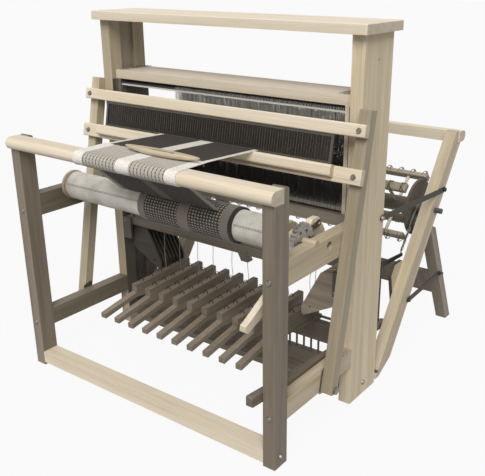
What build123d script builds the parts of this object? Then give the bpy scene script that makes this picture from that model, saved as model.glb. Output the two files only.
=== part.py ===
from build123d import *
import os
from math import asin, atan, atan2, cos, degrees, hypot, pi, radians, sin, tan

os.makedirs("parts", exist_ok=True)

# Overall frame
# Depths are measured back from the front face of the front legs, heights from the floor.
front_y = -618.7           # where the front face of the front legs stands in the part's frame
inner_half = 504           # half the clear width between the side frames
timber = 43                # thickness of the side timbers
outer_half = inner_half + timber
face_gap = 0.3             # gap between faces of pieces that move past each other
pin_gap = 0.05             # radial clearance of a pin in its hole

# Front legs, beams and rails
leg_depth = 61
leg_top = 857
beam_bottom = 815
beam_height = 41
beam_overhang = 19         # the breast beam's nose in front of the legs
beam_back = 38
stretcher_bottom = 11
stretcher_height = 43
rail_upper_bottom = 572
rail_upper_height = 78
rail_lower_bottom = 147
rail_lower_height = 63
rail_upper_bolt = 598      # heights of the bolts through the front legs
rail_lower_bolt = 171
nut_hole = (272, 626)      # counterbore in the upper rail
nut_hole_radius = 13
nut_hole_depth = 16
top_rounding = 9

# Castle
castle_front = 435
castle_depth = 173
castle_back = castle_front + castle_depth
castle_height = 1210
guide_recess_start = 53    # from the castle's front face
guide_recess_depth = 64
guide_recess = 10
shelf_half = 564
shelf_front = 408
shelf_depth = 229
shelf_thickness = 30
base_top = 54
base_thickness = 22
base_front_width = 62
base_gap = 5
rear_board_thickness = 20
rear_board_bottom = 105
rear_board_height = 79
vent_hole = (castle_front + 86, 1132)
vent_hole_radius = 4
vent_hole_depth = 8
dowel_radius = 4
dowel_pitch = 31.75
dowel_count = 21

# Harnesses and their guides
harness_count = 8
harness_pitch = 18
harness_thickness = 15.5
harness_first = castle_front + 24
harness_half = 501
harness_bottom = 620
harness_low_bar = 38
harness_top = 1033
harness_top_bar = 31
harness_side_bar = 22
heddle_bar_height = 12
heddle_bar_thickness = 3
heddle_bar_gap = 12
rib_thickness = 1.6
rib_height = 10
rib_bottom = 480
rib_top = 1000

# Lamms, jacks and push rods
lamm_thickness = 8
lamm_height = 30
lamm_bottom = 435
lamm_right = 330
lamm_pivot_x = -495
lamm_end = 8
slice_offset = 4.5         # lamms stand this far in front of a harness's middle, jacks behind
jack_inner = 330
jack_outer = 486
jack_thickness = 8
jack_pivot_x = 470
jack_pivot_height = 392
jack_slope = 28
push_rod_radius = 2.5
push_rod_x = 470
pivot_radius = 4
jack_low = 262             # the jack's inner end
jack_inner_height = 38
jack_shoulder = (74, -14)  # of the upper edge, from the inner end and from the head
jack_rounding = 8
tie_hole_radius = 2.5
tie_hole_height = 9
cleat_thickness = 10
cleat_inner = 464

# Treadles
treadle_count = 10
treadle_pitch = 69
treadle_width = 24
treadle_front = 133
treadle_tip_top = 215
treadle_step = 291
treadle_step_low = 243
treadle_step_high = 273
treadle_thickness = 18
treadle_pivot_depth = 600
treadle_pivot_height = 201
treadle_axle_radius = 5
treadle_boss = 10

# Beater
beater_pivot_depth = 265
beater_pivot_height = 155
beater_tilt = degrees(atan(0.2))
beater_arm_inner = outer_half + 2
beater_arm_thickness = 39
arm_front = -20.6          # the arm's front edge, measured square to the arm from the pivot
arm_depth = 35
arm_below = 13
arm_above = 862
pivot_bolt_radius = 6
foot_plate = 1.6           # thickness of the steel plate at the arm's foot
foot_plate_front = 9
foot_plate_rise = (62, 80)
top_bar_half = 590
top_bar_middle = 801
top_bar_height = 38
top_bar_thickness = 24
lower_bar_half = 595
lower_bar_middle = 667
lower_bar_height = 47
lower_bar_thickness = 20
race_half = 502
race_middle = 676
race_height = 36
race_thickness = 22
reed_half = 485
reed_thickness = 8
reed_spine = 9
reed_dent = 1.2
reed_dent_pitch = 10

# Cloth beam and its take-up
beam_axis_depth = 205
beam_axis_height = 652
beam_radius = 48
beam_left = -486
beam_right = 456
beam_axle_radius = 10
flange_radius = 52
flange_thickness = 12
ratchet_radius = 54
ratchet_root = 48
ratchet_teeth = 24
ratchet_inner = 484
ratchet_outer = 500
apron_thickness = 1.5
roll_radius = 57
roll_left = -114
roll_right = 276
ratchet_hole_circle = 0.62 # share of the root radius
ratchet_hole_radius = 6
lever_inner = 459
lever_thickness = 21
lever_boss_radius = 27
lever_outline = ((-46, 455), (-34, 446), (120, 508), (300, 578), (356, 600), (352, 642), (318, 690),
                 (284, 690), (250, 652), (196, 600), (-26, 478), (-42, 472))
lever_web = ((180, 640), (180, 585), (290, 610), (262, 668))
pawl_thickness = 7
advance_pivot = (302, 676)
advance_tip_angle = 20     # degrees round the beam's axis from level
advance_tail = 9
holding_pivot = (341, 623)
holding_tip_angle = -5
holding_tail = 10
screw_depth = 14

# Cloth and shuttle
cloth_left = -207
cloth_right = 219
cloth_thickness = 2
fell_depth = 160
shuttle_length = 320
shuttle_width = 36
shuttle_height = 22
shuttle_middle_x = 56
shuttle_depth = 90

# Back frame
post_slope = 0.7           # depth gained per unit of height
post_start = 612
post_depth = 79
post_top = 805
post_notch_depth = 24.5
post_foot = 8
fold_pivot_depth = 635
fold_pivot_height = 30
back_beam_half = 550
back_beam_bottom = 760
back_beam_height = 41
back_beam_back = 1258
rear_hinge_height = 455
rear_foot_depth = 1240
rear_leg_thickness = 38
rear_board_start = 254     # along the leg from its hinge
rear_board_width = 116
strap_width = 20
strap_thickness = 3
strap_inner = outer_half + 1
upper_strap_front = (594, 623)
upper_strap_back = (1095, 600)
lower_strap_front = (846, 235)
lower_strap_back = (1118, 248)
strap_bolt_radius = 4
strap_screw_depth = 12
foot_chamfer = 52          # height to which the post's foot is cut back
foot_width = 24
stop_block_thickness = 13
stop_block_outline = ((812, 225), (838, 225), (891, 300), (891, 344), (868, 375), (812, 375), (785, 338))
rear_board_inset = 8

# Sectional warp beam and brake
warp_axis_depth = 1029
warp_axis_height = 535
warp_axle_radius = 10
warp_axle_half = 575
warp_core = 30
warp_half = 470
slat_radius = 143
slat_width = 34
slat_thickness = 18
slat_rounding = 4
slat_inset = 3
spoke_radius = 6
spoke_rows = 6
flange_disc_radius = 107
flange_disc_inner = 472
flange_disc_thickness = 9
hub_radius = 30
hub_outer = 500
band_thickness = 2
band_inner = 486
band_width = 9
chain_angle = 49.8         # degrees above level, from the lever's end up to the band
chain_segments = ((0, 40, band_thickness, 3), (34, 92, 11, 7), (88, 128, 5, 4), (124, 160, 9, 3),
                  (156, 196, 5, 4))  # start, end, width and thickness of each length of the linkage
bracket_half = 16
bracket_depth = 14
brake_pivot = (622, 402)
brake_rod_joint = (739, 389)
brake_lever_end = (919, 375)
brake_lever_inner = 474
brake_lever_thickness = 6
brake_rod_radius = 3.5
pedal_inner = 478
pedal_thickness = 22
pedal_front = -45
pedal_back = 775
pedal_top_front = 255
pedal_slope = 0.105
pedal_height = 33
pedal_pivot_depth = 450

# Fasteners
bolt_radius = 4
bolt_head_radius = 9
bolt_head_height = 5


def side_plane(x):
    """Upright plane facing right: first axis is the depth, second the height."""
    return Plane(origin=(x, front_y, 0), x_dir=(0, 1, 0), z_dir=(1, 0, 0))


def face_plane(depth):
    """Upright plane facing the weaver: first axis runs right, second is the height."""
    return Plane(origin=(0, front_y + depth, 0), x_dir=(1, 0, 0), z_dir=(0, -1, 0))


def level_plane(height):
    """Level plane: first axis runs right, second is the depth."""
    return Plane(origin=(0, front_y, height), x_dir=(1, 0, 0), z_dir=(0, 0, 1))


def tilted_plane(x, pivot, tilt):
    """Side plane turned back by tilt degrees, with its origin at the pivot."""
    return Plane(origin=(x, front_y + pivot[0], pivot[1]),
                 x_dir=(0, cos(radians(tilt)), -sin(radians(tilt))), z_dir=(1, 0, 0))


def add_block(x_span, depth_span, height_span):
    """A square-edged board between two limits each way."""
    middle = ((depth_span[0] + depth_span[1]) / 2, (height_span[0] + height_span[1]) / 2)
    with BuildSketch(side_plane(x_span[0])) as section:
        with Locations(middle):
            Rectangle(depth_span[1] - depth_span[0], height_span[1] - height_span[0])
    extrude(section.sketch, amount=x_span[1] - x_span[0])


def add_profile(x_span, outline, rounding=0, plane=None, mode=Mode.ADD):
    """A board cut to an outline in the side view, its corners rounded on request."""
    with BuildSketch(plane or side_plane(x_span[0])) as profile:
        with BuildLine():
            Polyline(*outline, close=True)
        make_face()
        if rounding:
            fillet(profile.vertices(), rounding)
    extrude(profile.sketch, amount=x_span[1] - x_span[0], mode=mode)


def add_pin(x_span, centre, radius, mode=Mode.ADD, plane=None):
    """A round pin along the width, or its hole."""
    with BuildSketch(plane or side_plane(x_span[0])) as section:
        with Locations(centre):
            Circle(radius)
    extrude(section.sketch, amount=x_span[1] - x_span[0], mode=mode)


def add_bolt(plane, centre, shank):
    """A bolt seen head-on from its plane: a low head and a shank that goes in."""
    with BuildSketch(plane) as head:
        with Locations(centre):
            Circle(bolt_head_radius)
    extrude(head.sketch, amount=bolt_head_height, taper=24)
    with BuildSketch(plane) as section:
        with Locations(centre):
            Circle(bolt_radius)
    extrude(section.sketch, amount=-shank)


def drill(plane, centre, radius, depth):
    """A round hole into the piece below its plane."""
    with BuildSketch(plane) as section:
        with Locations(centre):
            Circle(radius)
    extrude(section.sketch, amount=-depth, mode=Mode.SUBTRACT)


def save(part, label):
    """Label the finished piece and write it."""
    part.label = label
    export_step(part, f"parts/{label}.step")


def harness_depth(index):
    return harness_first + index * harness_pitch


def treadle_x(index):
    return (index - (treadle_count - 1) / 2) * treadle_pitch


def post_front(height):
    return post_start + post_slope * height


def post_back(height):
    return post_front(height) + post_depth


timber_mid = inner_half + timber / 2
foot_bolt = (leg_depth / 2, stretcher_bottom + stretcher_height / 2)
base_bolt = (castle_front + 88, base_top - base_thickness / 2)
leg_bolt_shank = leg_depth + 60
side_bolt_shank = timber + 50
hole_radius = bolt_radius + pin_gap
pedal_pivot = (pedal_pivot_depth,
               pedal_top_front - pedal_slope * (pedal_pivot_depth - pedal_front) - pedal_height / 2)
pedal_span = (pedal_inner, pedal_inner + pedal_thickness)
holding_span = (ratchet_outer - pawl_thickness, ratchet_outer)

# Front legs, notched in front for the breast beam
with BuildPart() as front_legs:
    with BuildSketch(side_plane(inner_half)) as leg_profile:
        with BuildLine():
            Polyline((0, 0), (leg_depth, 0), (leg_depth, leg_top), (beam_back, leg_top),
                     (beam_back, beam_bottom), (0, beam_bottom), close=True)
        make_face()
        fillet(leg_profile.vertices().group_by(Axis.Y)[-1], top_rounding)
    extrude(amount=timber)
    for height in (rail_upper_bolt, rail_lower_bolt):
        drill(face_plane(0), (timber_mid, height), hole_radius, leg_depth)
    drill(side_plane(outer_half), foot_bolt, hole_radius, timber)
    mirror(about=Plane.YZ)
save(front_legs.part, "front_legs")

# Breast beam with its rounded nose
nose = beam_height / 2
beam_middle = beam_bottom + nose
with BuildPart() as breast_beam:
    with BuildSketch(side_plane(-outer_half)):
        with BuildLine():
            Line((beam_back, beam_bottom), (beam_back, beam_bottom + beam_height))
            Line((beam_back, beam_bottom + beam_height), (nose - beam_overhang, beam_bottom + beam_height))
            ThreePointArc((nose - beam_overhang, beam_bottom + beam_height), (-beam_overhang, beam_middle),
                          (nose - beam_overhang, beam_bottom))
            Line((nose - beam_overhang, beam_bottom), (beam_back, beam_bottom))
        make_face()
    extrude(amount=2 * outer_half)
save(breast_beam.part, "breast_beam")

# Low stretcher between the front legs
with BuildPart() as front_stretcher:
    add_block((-inner_half, inner_half), (0, leg_depth),
              (stretcher_bottom, stretcher_bottom + stretcher_height))
    drill(side_plane(inner_half), foot_bolt, hole_radius, side_bolt_shank - timber + pin_gap)
    drill(side_plane(-inner_half + side_bolt_shank - timber), foot_bolt, hole_radius,
          side_bolt_shank - timber)
save(front_stretcher.part, "front_stretcher")

# Side rails, the upper ones carrying the cloth beam in half-round seats
rail_upper_top = rail_upper_bottom + rail_upper_height
with BuildPart() as side_rails:
    add_block((inner_half, outer_half), (leg_depth, castle_front), (rail_upper_bottom, rail_upper_top))
    add_block((inner_half, outer_half), (leg_depth, castle_front),
              (rail_lower_bottom, rail_lower_bottom + rail_lower_height))
    add_pin((inner_half, outer_half), (beam_axis_depth, beam_axis_height),
            beam_axle_radius + pin_gap, Mode.SUBTRACT)
    drill(side_plane(outer_half), nut_hole, nut_hole_radius, nut_hole_depth)
    drill(side_plane(outer_half), (beater_pivot_depth, beater_pivot_height),
          pivot_bolt_radius + pin_gap, timber)
    for height in (rail_upper_bolt, rail_lower_bolt):
        drill(face_plane(leg_depth), (timber_mid, height), hole_radius, leg_bolt_shank - leg_depth + pin_gap)
    mirror(about=Plane.YZ)
    add_pin((inner_half, inner_half + screw_depth + pin_gap), holding_pivot, hole_radius, Mode.SUBTRACT)
save(side_rails.part, "side_rails")

# Castle sides with the recessed guide panel, guide ribs and bearing cleats
recess_front = castle_front + guide_recess_start
recess_span = (recess_front, recess_front + guide_recess_depth)
rib_first = harness_first - harness_pitch / 2
plate_screws = (castle_back - 44, castle_back - 16)
cleat_depths = (castle_front + 1, castle_back - 1 - cleat_thickness)
with BuildPart() as castle_sides:
    add_block((inner_half, outer_half), (castle_front, castle_back), (0, castle_height))
    with BuildSketch(side_plane(inner_half)):
        with Locations(((recess_span[0] + recess_span[1]) / 2, (castle_height + base_top) / 2)):
            Rectangle(guide_recess_depth, castle_height - base_top)
    extrude(amount=guide_recess, mode=Mode.SUBTRACT)
    for index in range(harness_count + 1):
        middle = rib_first + index * harness_pitch
        add_block((inner_half - rib_height, inner_half + guide_recess),
                  (middle - rib_thickness / 2, middle + rib_thickness / 2), (rib_bottom, rib_top))
    for depth in cleat_depths:
        add_block((cleat_inner, inner_half), (depth, depth + cleat_thickness),
                  (jack_pivot_height - 14, lamm_bottom + lamm_height))
    for x, height in ((jack_pivot_x, jack_pivot_height), (-lamm_pivot_x, lamm_bottom + lamm_height / 2)):
        drill(face_plane(castle_front), (x, height), pivot_radius + pin_gap, castle_depth)
    drill(side_plane(outer_half), vent_hole, vent_hole_radius, vent_hole_depth)
    drill(side_plane(outer_half), base_bolt, hole_radius, timber)
    drill(side_plane(outer_half), upper_strap_front, hole_radius, timber)
    for depth in plate_screws:
        add_pin((inner_half, inner_half + strap_screw_depth + pin_gap), (depth, fold_pivot_height),
                hole_radius, Mode.SUBTRACT)
    mirror(about=Plane.YZ)
    bracket_span = (brake_lever_inner + brake_lever_thickness + face_gap, inner_half)
    add_block(bracket_span, (castle_back - 1, brake_pivot[0] + bracket_depth),
              (brake_pivot[1] - bracket_half, brake_pivot[1] + bracket_half))
    add_pin(bracket_span, brake_pivot, bolt_radius + 1 + pin_gap, Mode.SUBTRACT)
    add_pin((inner_half, inner_half + screw_depth + pin_gap), pedal_pivot, hole_radius, Mode.SUBTRACT)
save(castle_sides.part, "castle_sides")

# Shelf on top of the castle
with BuildPart() as castle_shelf:
    add_block((-shelf_half, shelf_half), (shelf_front, shelf_front + shelf_depth),
              (castle_height, castle_height + shelf_thickness))
    fillet(castle_shelf.edges().filter_by(Axis.Z), 6)
    fillet(castle_shelf.edges().group_by(Axis.Z)[-1], 3)
save(castle_shelf.part, "castle_shelf")

# Base boards, the rear cross board and the dowels between them
base_split = castle_front + base_front_width
rear_board_span = (castle_back - rear_board_thickness, castle_back)
dowel_depth = castle_back - rear_board_thickness / 2
plate_front = castle_back - 60
plate_notch = strap_thickness + 2 * face_gap
pedal_notch = pedal_top_front - pedal_slope * (castle_back - pedal_front) - pedal_height - 4
with BuildPart() as base_boards:
    add_block((-inner_half, inner_half), (castle_front, base_split), (base_top - base_thickness, base_top))
    add_block((-inner_half, inner_half), (base_split + base_gap, castle_back),
              (base_top - base_thickness, base_top))
    add_block((-inner_half, inner_half), rear_board_span,
              (rear_board_bottom, rear_board_bottom + rear_board_height))
    with BuildSketch(level_plane(base_top)):
        with Locations((0, dowel_depth)):
            with GridLocations(dowel_pitch, 1, dowel_count, 1):
                Circle(dowel_radius)
    extrude(amount=rear_board_bottom - base_top)
    for side in (-1, 1):
        start = side_plane(side * inner_half + (0 if side > 0 else side_bolt_shank - timber))
        drill(start, base_bolt, hole_radius, side_bolt_shank - timber + pin_gap)
        notch_start = side * (inner_half - plate_notch)
        notch_span = (min(notch_start, side * inner_half), max(notch_start, side * inner_half))
        add_profile(notch_span, ((plate_front - 1, 0), (castle_back, 0), (castle_back, base_top),
                                 (plate_front - 1, base_top)), mode=Mode.SUBTRACT)
    pedal_notch_top = rear_board_bottom + rear_board_height
    add_profile((pedal_inner - 5, inner_half), (
        (rear_board_span[0], pedal_notch), (castle_back, pedal_notch),
        (castle_back, pedal_notch_top), (rear_board_span[0], pedal_notch_top)), mode=Mode.SUBTRACT)
save(base_boards.part, "base_boards")

# Steel pivot rods of the treadles, the lamms and the jacks
treadle_pivot = (treadle_pivot_depth, treadle_pivot_height)
with BuildPart() as pivot_rods:
    add_pin((-inner_half, inner_half), treadle_pivot, treadle_axle_radius)
    rods = ((lamm_pivot_x, lamm_bottom + lamm_height / 2), (jack_pivot_x, jack_pivot_height),
            (-jack_pivot_x, jack_pivot_height))
    for centre in rods:
        with BuildSketch(face_plane(castle_front + 1)):
            with Locations(centre):
                Circle(pivot_radius)
        extrude(amount=-(castle_depth - 2))
save(pivot_rods.part, "pivot_rods")

# Bolts of the frame, the beater's pivot bolts and the plates the back frame turns on
fold_pivot = (fold_pivot_depth, fold_pivot_height)
beater_pivot = (beater_pivot_depth, beater_pivot_height)
beater_outer = beater_arm_inner + beater_arm_thickness
plate_span = (inner_half - face_gap - strap_thickness, inner_half - face_gap)
with BuildPart() as frame_hardware:
    for height in (rail_upper_bolt, rail_lower_bolt):
        add_bolt(face_plane(0), (timber_mid, height), leg_bolt_shank)
    for centre in (foot_bolt, base_bolt):
        add_bolt(side_plane(outer_half), centre, side_bolt_shank)
    add_bolt(side_plane(strap_inner + strap_thickness + face_gap), upper_strap_front, timber)
    add_pin((inner_half, beater_outer + face_gap), beater_pivot, pivot_bolt_radius)
    add_pin((beater_outer + face_gap, beater_outer + face_gap + 6), beater_pivot, 2 * pivot_bolt_radius)
    add_profile(plate_span, ((plate_front, 14), (fold_pivot_depth + 16, 14), (fold_pivot_depth + 16, 46),
                             (plate_front, 46)), 8)
    add_pin((plate_span[0] - 5, outer_half), fold_pivot, pivot_bolt_radius)
    for depth in plate_screws:
        add_pin((plate_span[1], inner_half + strap_screw_depth), (depth, fold_pivot_height), bolt_radius)
    mirror(about=Plane.YZ)
    add_pin((holding_span[0], inner_half + screw_depth), holding_pivot, bolt_radius)
    add_pin((pedal_span[0], inner_half + screw_depth), pedal_pivot, bolt_radius)
save(frame_hardware.part, "frame_hardware")

# Jacks: one board each side under every harness, with its push rod up to the harness
jack_rise = tan(radians(jack_slope))
jack_head = lamm_bottom + lamm_height - 10
jack_outline = (
    (jack_inner, jack_low), (jack_outer, jack_low + (jack_outer - jack_inner) * jack_rise),
    (jack_outer, jack_head), (jack_inner + jack_shoulder[0], jack_head + jack_shoulder[1]),
    (jack_inner, jack_low + jack_inner_height),
)
with BuildPart() as jacks:
    for index in range(harness_count):
        middle = harness_depth(index) + slice_offset
        with BuildSketch(face_plane(middle - jack_thickness / 2)) as jack_face:
            with BuildLine():
                Polyline(*jack_outline, close=True)
            make_face()
            fillet(jack_face.vertices(), jack_rounding)
            with Locations((jack_pivot_x, jack_pivot_height)):
                Circle(pivot_radius + pin_gap, mode=Mode.SUBTRACT)
            with Locations((jack_inner + 34, jack_low + 42)):
                Circle(pivot_radius, mode=Mode.SUBTRACT)
        extrude(amount=-jack_thickness)
        with BuildSketch(level_plane(jack_head)):
            with Locations((push_rod_x, middle)):
                Circle(push_rod_radius)
        extrude(amount=harness_bottom - face_gap - jack_head)
    mirror(about=Plane.YZ)
save(jacks.part, "jacks")

# Harness frames
harness_inner = harness_half - harness_side_bar
for index in range(harness_count):
    depth = harness_depth(index)
    window_bottom = harness_bottom + harness_low_bar
    window_top = harness_top - harness_top_bar
    with BuildPart() as harness:
        with BuildSketch(face_plane(depth - harness_thickness / 2)):
            with Locations((0, (harness_bottom + harness_top) / 2)):
                Rectangle(2 * harness_half, harness_top - harness_bottom)
            with Locations((0, (window_bottom + window_top) / 2)):
                Rectangle(2 * harness_inner, window_top - window_bottom, mode=Mode.SUBTRACT)
        extrude(amount=-harness_thickness)
        for height in (window_bottom + heddle_bar_gap, window_top - heddle_bar_gap - heddle_bar_height):
            add_block((-harness_inner, harness_inner),
                      (depth - heddle_bar_thickness / 2, depth + heddle_bar_thickness / 2),
                      (height, height + heddle_bar_height))
    save(harness.part, f"harness_{index + 1}")

# Lamms, hinged on their rod at the left
lamm_middle = lamm_bottom + lamm_height / 2
for index in range(harness_count):
    depth = harness_depth(index) - slice_offset
    with BuildPart() as lamm:
        with BuildSketch(face_plane(depth - lamm_thickness / 2)) as lamm_face:
            with BuildLine():
                Polyline((lamm_pivot_x - lamm_end, lamm_bottom), (lamm_right, lamm_bottom),
                         (lamm_right, lamm_bottom + lamm_height),
                         (lamm_pivot_x - lamm_end, lamm_bottom + lamm_height), close=True)
            make_face()
            fillet(lamm_face.vertices(), jack_rounding)
            with Locations((lamm_pivot_x, lamm_middle)):
                Circle(pivot_radius + pin_gap, mode=Mode.SUBTRACT)
            for tie in range(treadle_count):
                with Locations((treadle_x(tie), lamm_bottom + tie_hole_height)):
                    Circle(tie_hole_radius, mode=Mode.SUBTRACT)
        extrude(amount=-lamm_thickness)
    save(lamm.part, f"lamm_{index + 1}")

# Treadles, stepped down in front and bored at the back for their axle
tip_low = treadle_tip_top - treadle_thickness
treadle_outline = (
    (treadle_front, tip_low), (treadle_front, treadle_tip_top), (treadle_step, treadle_step_low),
    (treadle_step, treadle_step_high),
    (treadle_pivot_depth, treadle_pivot_height + treadle_boss),
    (treadle_pivot_depth, treadle_pivot_height - treadle_boss),
    (treadle_step, treadle_step_low - treadle_thickness),
)
for index in range(treadle_count):
    x_span = (treadle_x(index) - treadle_width / 2, treadle_x(index) + treadle_width / 2)
    with BuildPart() as treadle:
        add_profile(x_span, treadle_outline)
        add_pin(x_span, treadle_pivot, treadle_boss)
        add_pin(x_span, treadle_pivot, treadle_axle_radius + pin_gap, Mode.SUBTRACT)
    save(treadle.part, f"treadle_{index + 1}")

# Beater arms, leaning back on their pivots
arm_span = (beater_arm_inner, beater_outer)
bar_bolt_x = (beater_arm_inner + beater_outer) / 2
tilted_face = Plane(origin=(0, front_y + beater_pivot_depth, beater_pivot_height), x_dir=(1, 0, 0),
                    z_dir=(0, -cos(radians(beater_tilt)), sin(radians(beater_tilt))))
with BuildPart() as beater_arms:
    add_profile(arm_span, ((arm_front, -arm_below), (arm_front + arm_depth, -arm_below),
                           (arm_front + arm_depth, arm_above), (arm_front, arm_above)),
                3, tilted_plane(arm_span[0], beater_pivot, beater_tilt))
    add_pin(arm_span, beater_pivot, pivot_bolt_radius + pin_gap, Mode.SUBTRACT)
    for middle in (top_bar_middle, lower_bar_middle):
        drill(tilted_face.offset(-arm_front), (bar_bolt_x, middle), hole_radius, arm_depth + 1)
    mirror(about=Plane.YZ)
save(beater_arms.part, "beater_arms")


def add_beater_bar(half, middle, height, back, thickness, rounding):
    """A cross bar of the beater, its back face a given distance from the pivot's line."""
    outline = ((back - thickness, middle - height / 2), (back, middle - height / 2),
               (back, middle + height / 2), (back - thickness, middle + height / 2))
    add_profile((-half, half), outline, rounding, tilted_plane(-half, beater_pivot, beater_tilt))


def drill_bar(middle, thickness):
    """The two holes for the bolts that hold a cross bar to the arms."""
    for side in (-1, 1):
        drill(tilted_face.offset(-arm_front + thickness), (side * bar_bolt_x, middle), hole_radius, thickness)


with BuildPart() as beater_top_bar:
    add_beater_bar(top_bar_half, top_bar_middle, top_bar_height, arm_front, top_bar_thickness, 4)
    drill_bar(top_bar_middle, top_bar_thickness)
save(beater_top_bar.part, "beater_top_bar")

# Lower bar with the shuttle race in front of it
with BuildPart() as beater_lower_bar:
    add_beater_bar(lower_bar_half, lower_bar_middle, lower_bar_height, arm_front, lower_bar_thickness, 4)
    add_beater_bar(race_half, race_middle, race_height, arm_front - lower_bar_thickness, race_thickness, 8)
    drill_bar(lower_bar_middle, lower_bar_thickness)
save(beater_lower_bar.part, "beater_lower_bar")

# Reed between the two bars
reed_bottom = lower_bar_middle + lower_bar_height / 2
reed_top = top_bar_middle - top_bar_height / 2
reed_back = arm_front - (lower_bar_thickness - reed_thickness) / 2
dent_count = int(2 * (reed_half - 2 * reed_spine) / reed_dent_pitch)
with BuildPart() as reed:
    for middle in (reed_bottom + reed_spine / 2, reed_top - reed_spine / 2):
        add_beater_bar(reed_half, middle, reed_spine, reed_back, reed_thickness, 0)
    for side in (-1, 1):
        with BuildSketch(tilted_plane(side * (reed_half - reed_spine / 2), beater_pivot, beater_tilt)):
            with Locations((reed_back - reed_thickness / 2, (reed_bottom + reed_top) / 2)):
                Rectangle(reed_thickness, reed_top - reed_bottom)
        extrude(amount=reed_spine / 2, both=True)
    for index in range(dent_count + 1):
        x = (index - dent_count / 2) * reed_dent_pitch
        with BuildSketch(tilted_plane(x, beater_pivot, beater_tilt)):
            with Locations((reed_back - reed_thickness / 2, (reed_bottom + reed_top) / 2)):
                Rectangle(reed_thickness / 2, reed_top - reed_bottom - reed_spine)
        extrude(amount=reed_dent / 2, both=True)
save(reed.part, "reed")

# Steel plates at the beater's pivots and the bolts of its bars
plate_left = arm_front - foot_plate_front
plate_right = arm_front + arm_depth - 6
plate_low = -arm_below - 6
foot_plate_span = (beater_arm_inner - foot_plate, beater_arm_inner)
with BuildPart() as beater_hardware:
    add_profile(foot_plate_span, ((plate_left, plate_low), (plate_right, plate_low),
                                  (plate_right, foot_plate_rise[1]), (plate_left, foot_plate_rise[0])),
                5, tilted_plane(foot_plate_span[0], beater_pivot, beater_tilt))
    add_pin(foot_plate_span, beater_pivot, pivot_bolt_radius + pin_gap, Mode.SUBTRACT)
    for middle, thickness in ((top_bar_middle, top_bar_thickness), (lower_bar_middle, lower_bar_thickness)):
        add_bolt(tilted_face.offset(-arm_front + thickness), (bar_bolt_x, middle), thickness + arm_depth)
    mirror(about=Plane.YZ)
save(beater_hardware.part, "beater_hardware")

# Cloth beam on its steel axle, with an end flange at the left
beam_axis = (beam_axis_depth, beam_axis_height)
with BuildPart() as cloth_beam:
    add_pin((beam_left, beam_right), beam_axis, beam_radius)
    add_pin((beam_left - flange_thickness, beam_left), beam_axis, flange_radius)
    add_pin((-outer_half + face_gap, outer_half - face_gap), beam_axis, beam_axle_radius)
save(cloth_beam.part, "cloth_beam")


def ratchet_points():
    """Saw-tooth outline: each tooth falls straight in and climbs back out."""
    points = []
    for tooth in range(ratchet_teeth):
        crest = 2 * pi * tooth / ratchet_teeth
        for radius, angle in ((ratchet_radius, crest), (ratchet_root, crest + 0.02)):
            points.append((beam_axis_depth + radius * cos(angle), beam_axis_height + radius * sin(angle)))
    return points


with BuildPart() as cloth_ratchet:
    add_profile((ratchet_inner, ratchet_outer), ratchet_points())
    add_pin((ratchet_inner, ratchet_outer), beam_axis, beam_axle_radius + pin_gap, Mode.SUBTRACT)
    with BuildSketch(side_plane(ratchet_inner)):
        with Locations(beam_axis):
            with PolarLocations(ratchet_root * ratchet_hole_circle, 6):
                Circle(ratchet_hole_radius)
    extrude(amount=ratchet_outer - ratchet_inner, mode=Mode.SUBTRACT)
save(cloth_ratchet.part, "cloth_ratchet")

# Apron and the woven cloth wound over it
apron_radius = beam_radius + apron_thickness
with BuildPart() as cloth_roll:
    add_pin((beam_left + 10, beam_right - 10), beam_axis, apron_radius)
    add_pin((roll_left, roll_right), beam_axis, roll_radius)
    add_pin((beam_left + 10, beam_right - 10), beam_axis, beam_radius, Mode.SUBTRACT)
save(cloth_roll.part, "cloth_roll")

# Take-up lever with a boss on the beam's axle
lever_span = (lever_inner, lever_inner + lever_thickness)
with BuildPart() as advance_lever:
    with BuildSketch(side_plane(lever_span[0])) as lever_face:
        with BuildLine():
            Polyline(*lever_outline, close=True)
        make_face()
        fillet(lever_face.vertices(), 5)
        with Locations(beam_axis):
            Circle(lever_boss_radius)
        with BuildLine():
            Polyline(*lever_web, close=True)
        make_face()
        with Locations(beam_axis):
            Circle(beam_axle_radius + pin_gap, mode=Mode.SUBTRACT)
    extrude(amount=lever_thickness)
    add_pin((lever_span[1], ratchet_inner + pawl_thickness), advance_pivot, pivot_radius)
save(advance_lever.part, "advance_lever")


def pawl_outline(pivot, tip_angle, reach):
    """A tapered finger from its pivot to a nose that stands just off the tooth crests."""
    tip_radius = ratchet_radius + face_gap + 0.3
    tip = (beam_axis_depth + tip_radius * cos(tip_angle), beam_axis_height + tip_radius * sin(tip_angle))
    along = ((tip[0] - pivot[0]), (tip[1] - pivot[1]))
    length = hypot(*along)
    unit = (along[0] / length, along[1] / length)
    square = (-unit[1], unit[0])
    corners = ((-reach, -8), (length, 0), (length - 12, 9), (-reach, 9))
    return [(pivot[0] + a * unit[0] + b * square[0], pivot[1] + a * unit[1] + b * square[1])
            for a, b in corners]


with BuildPart() as advance_pawl:
    add_profile((ratchet_inner, ratchet_inner + pawl_thickness),
                pawl_outline(advance_pivot, radians(advance_tip_angle), advance_tail))
    add_pin((ratchet_inner, ratchet_inner + pawl_thickness), advance_pivot, pivot_radius + pin_gap,
            Mode.SUBTRACT)
save(advance_pawl.part, "advance_pawl")

with BuildPart() as holding_pawl:
    add_profile(holding_span, pawl_outline(holding_pivot, radians(holding_tip_angle), holding_tail))
    add_pin(holding_span, holding_pivot, hole_radius, Mode.SUBTRACT)
save(holding_pawl.part, "holding_pawl")

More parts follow.
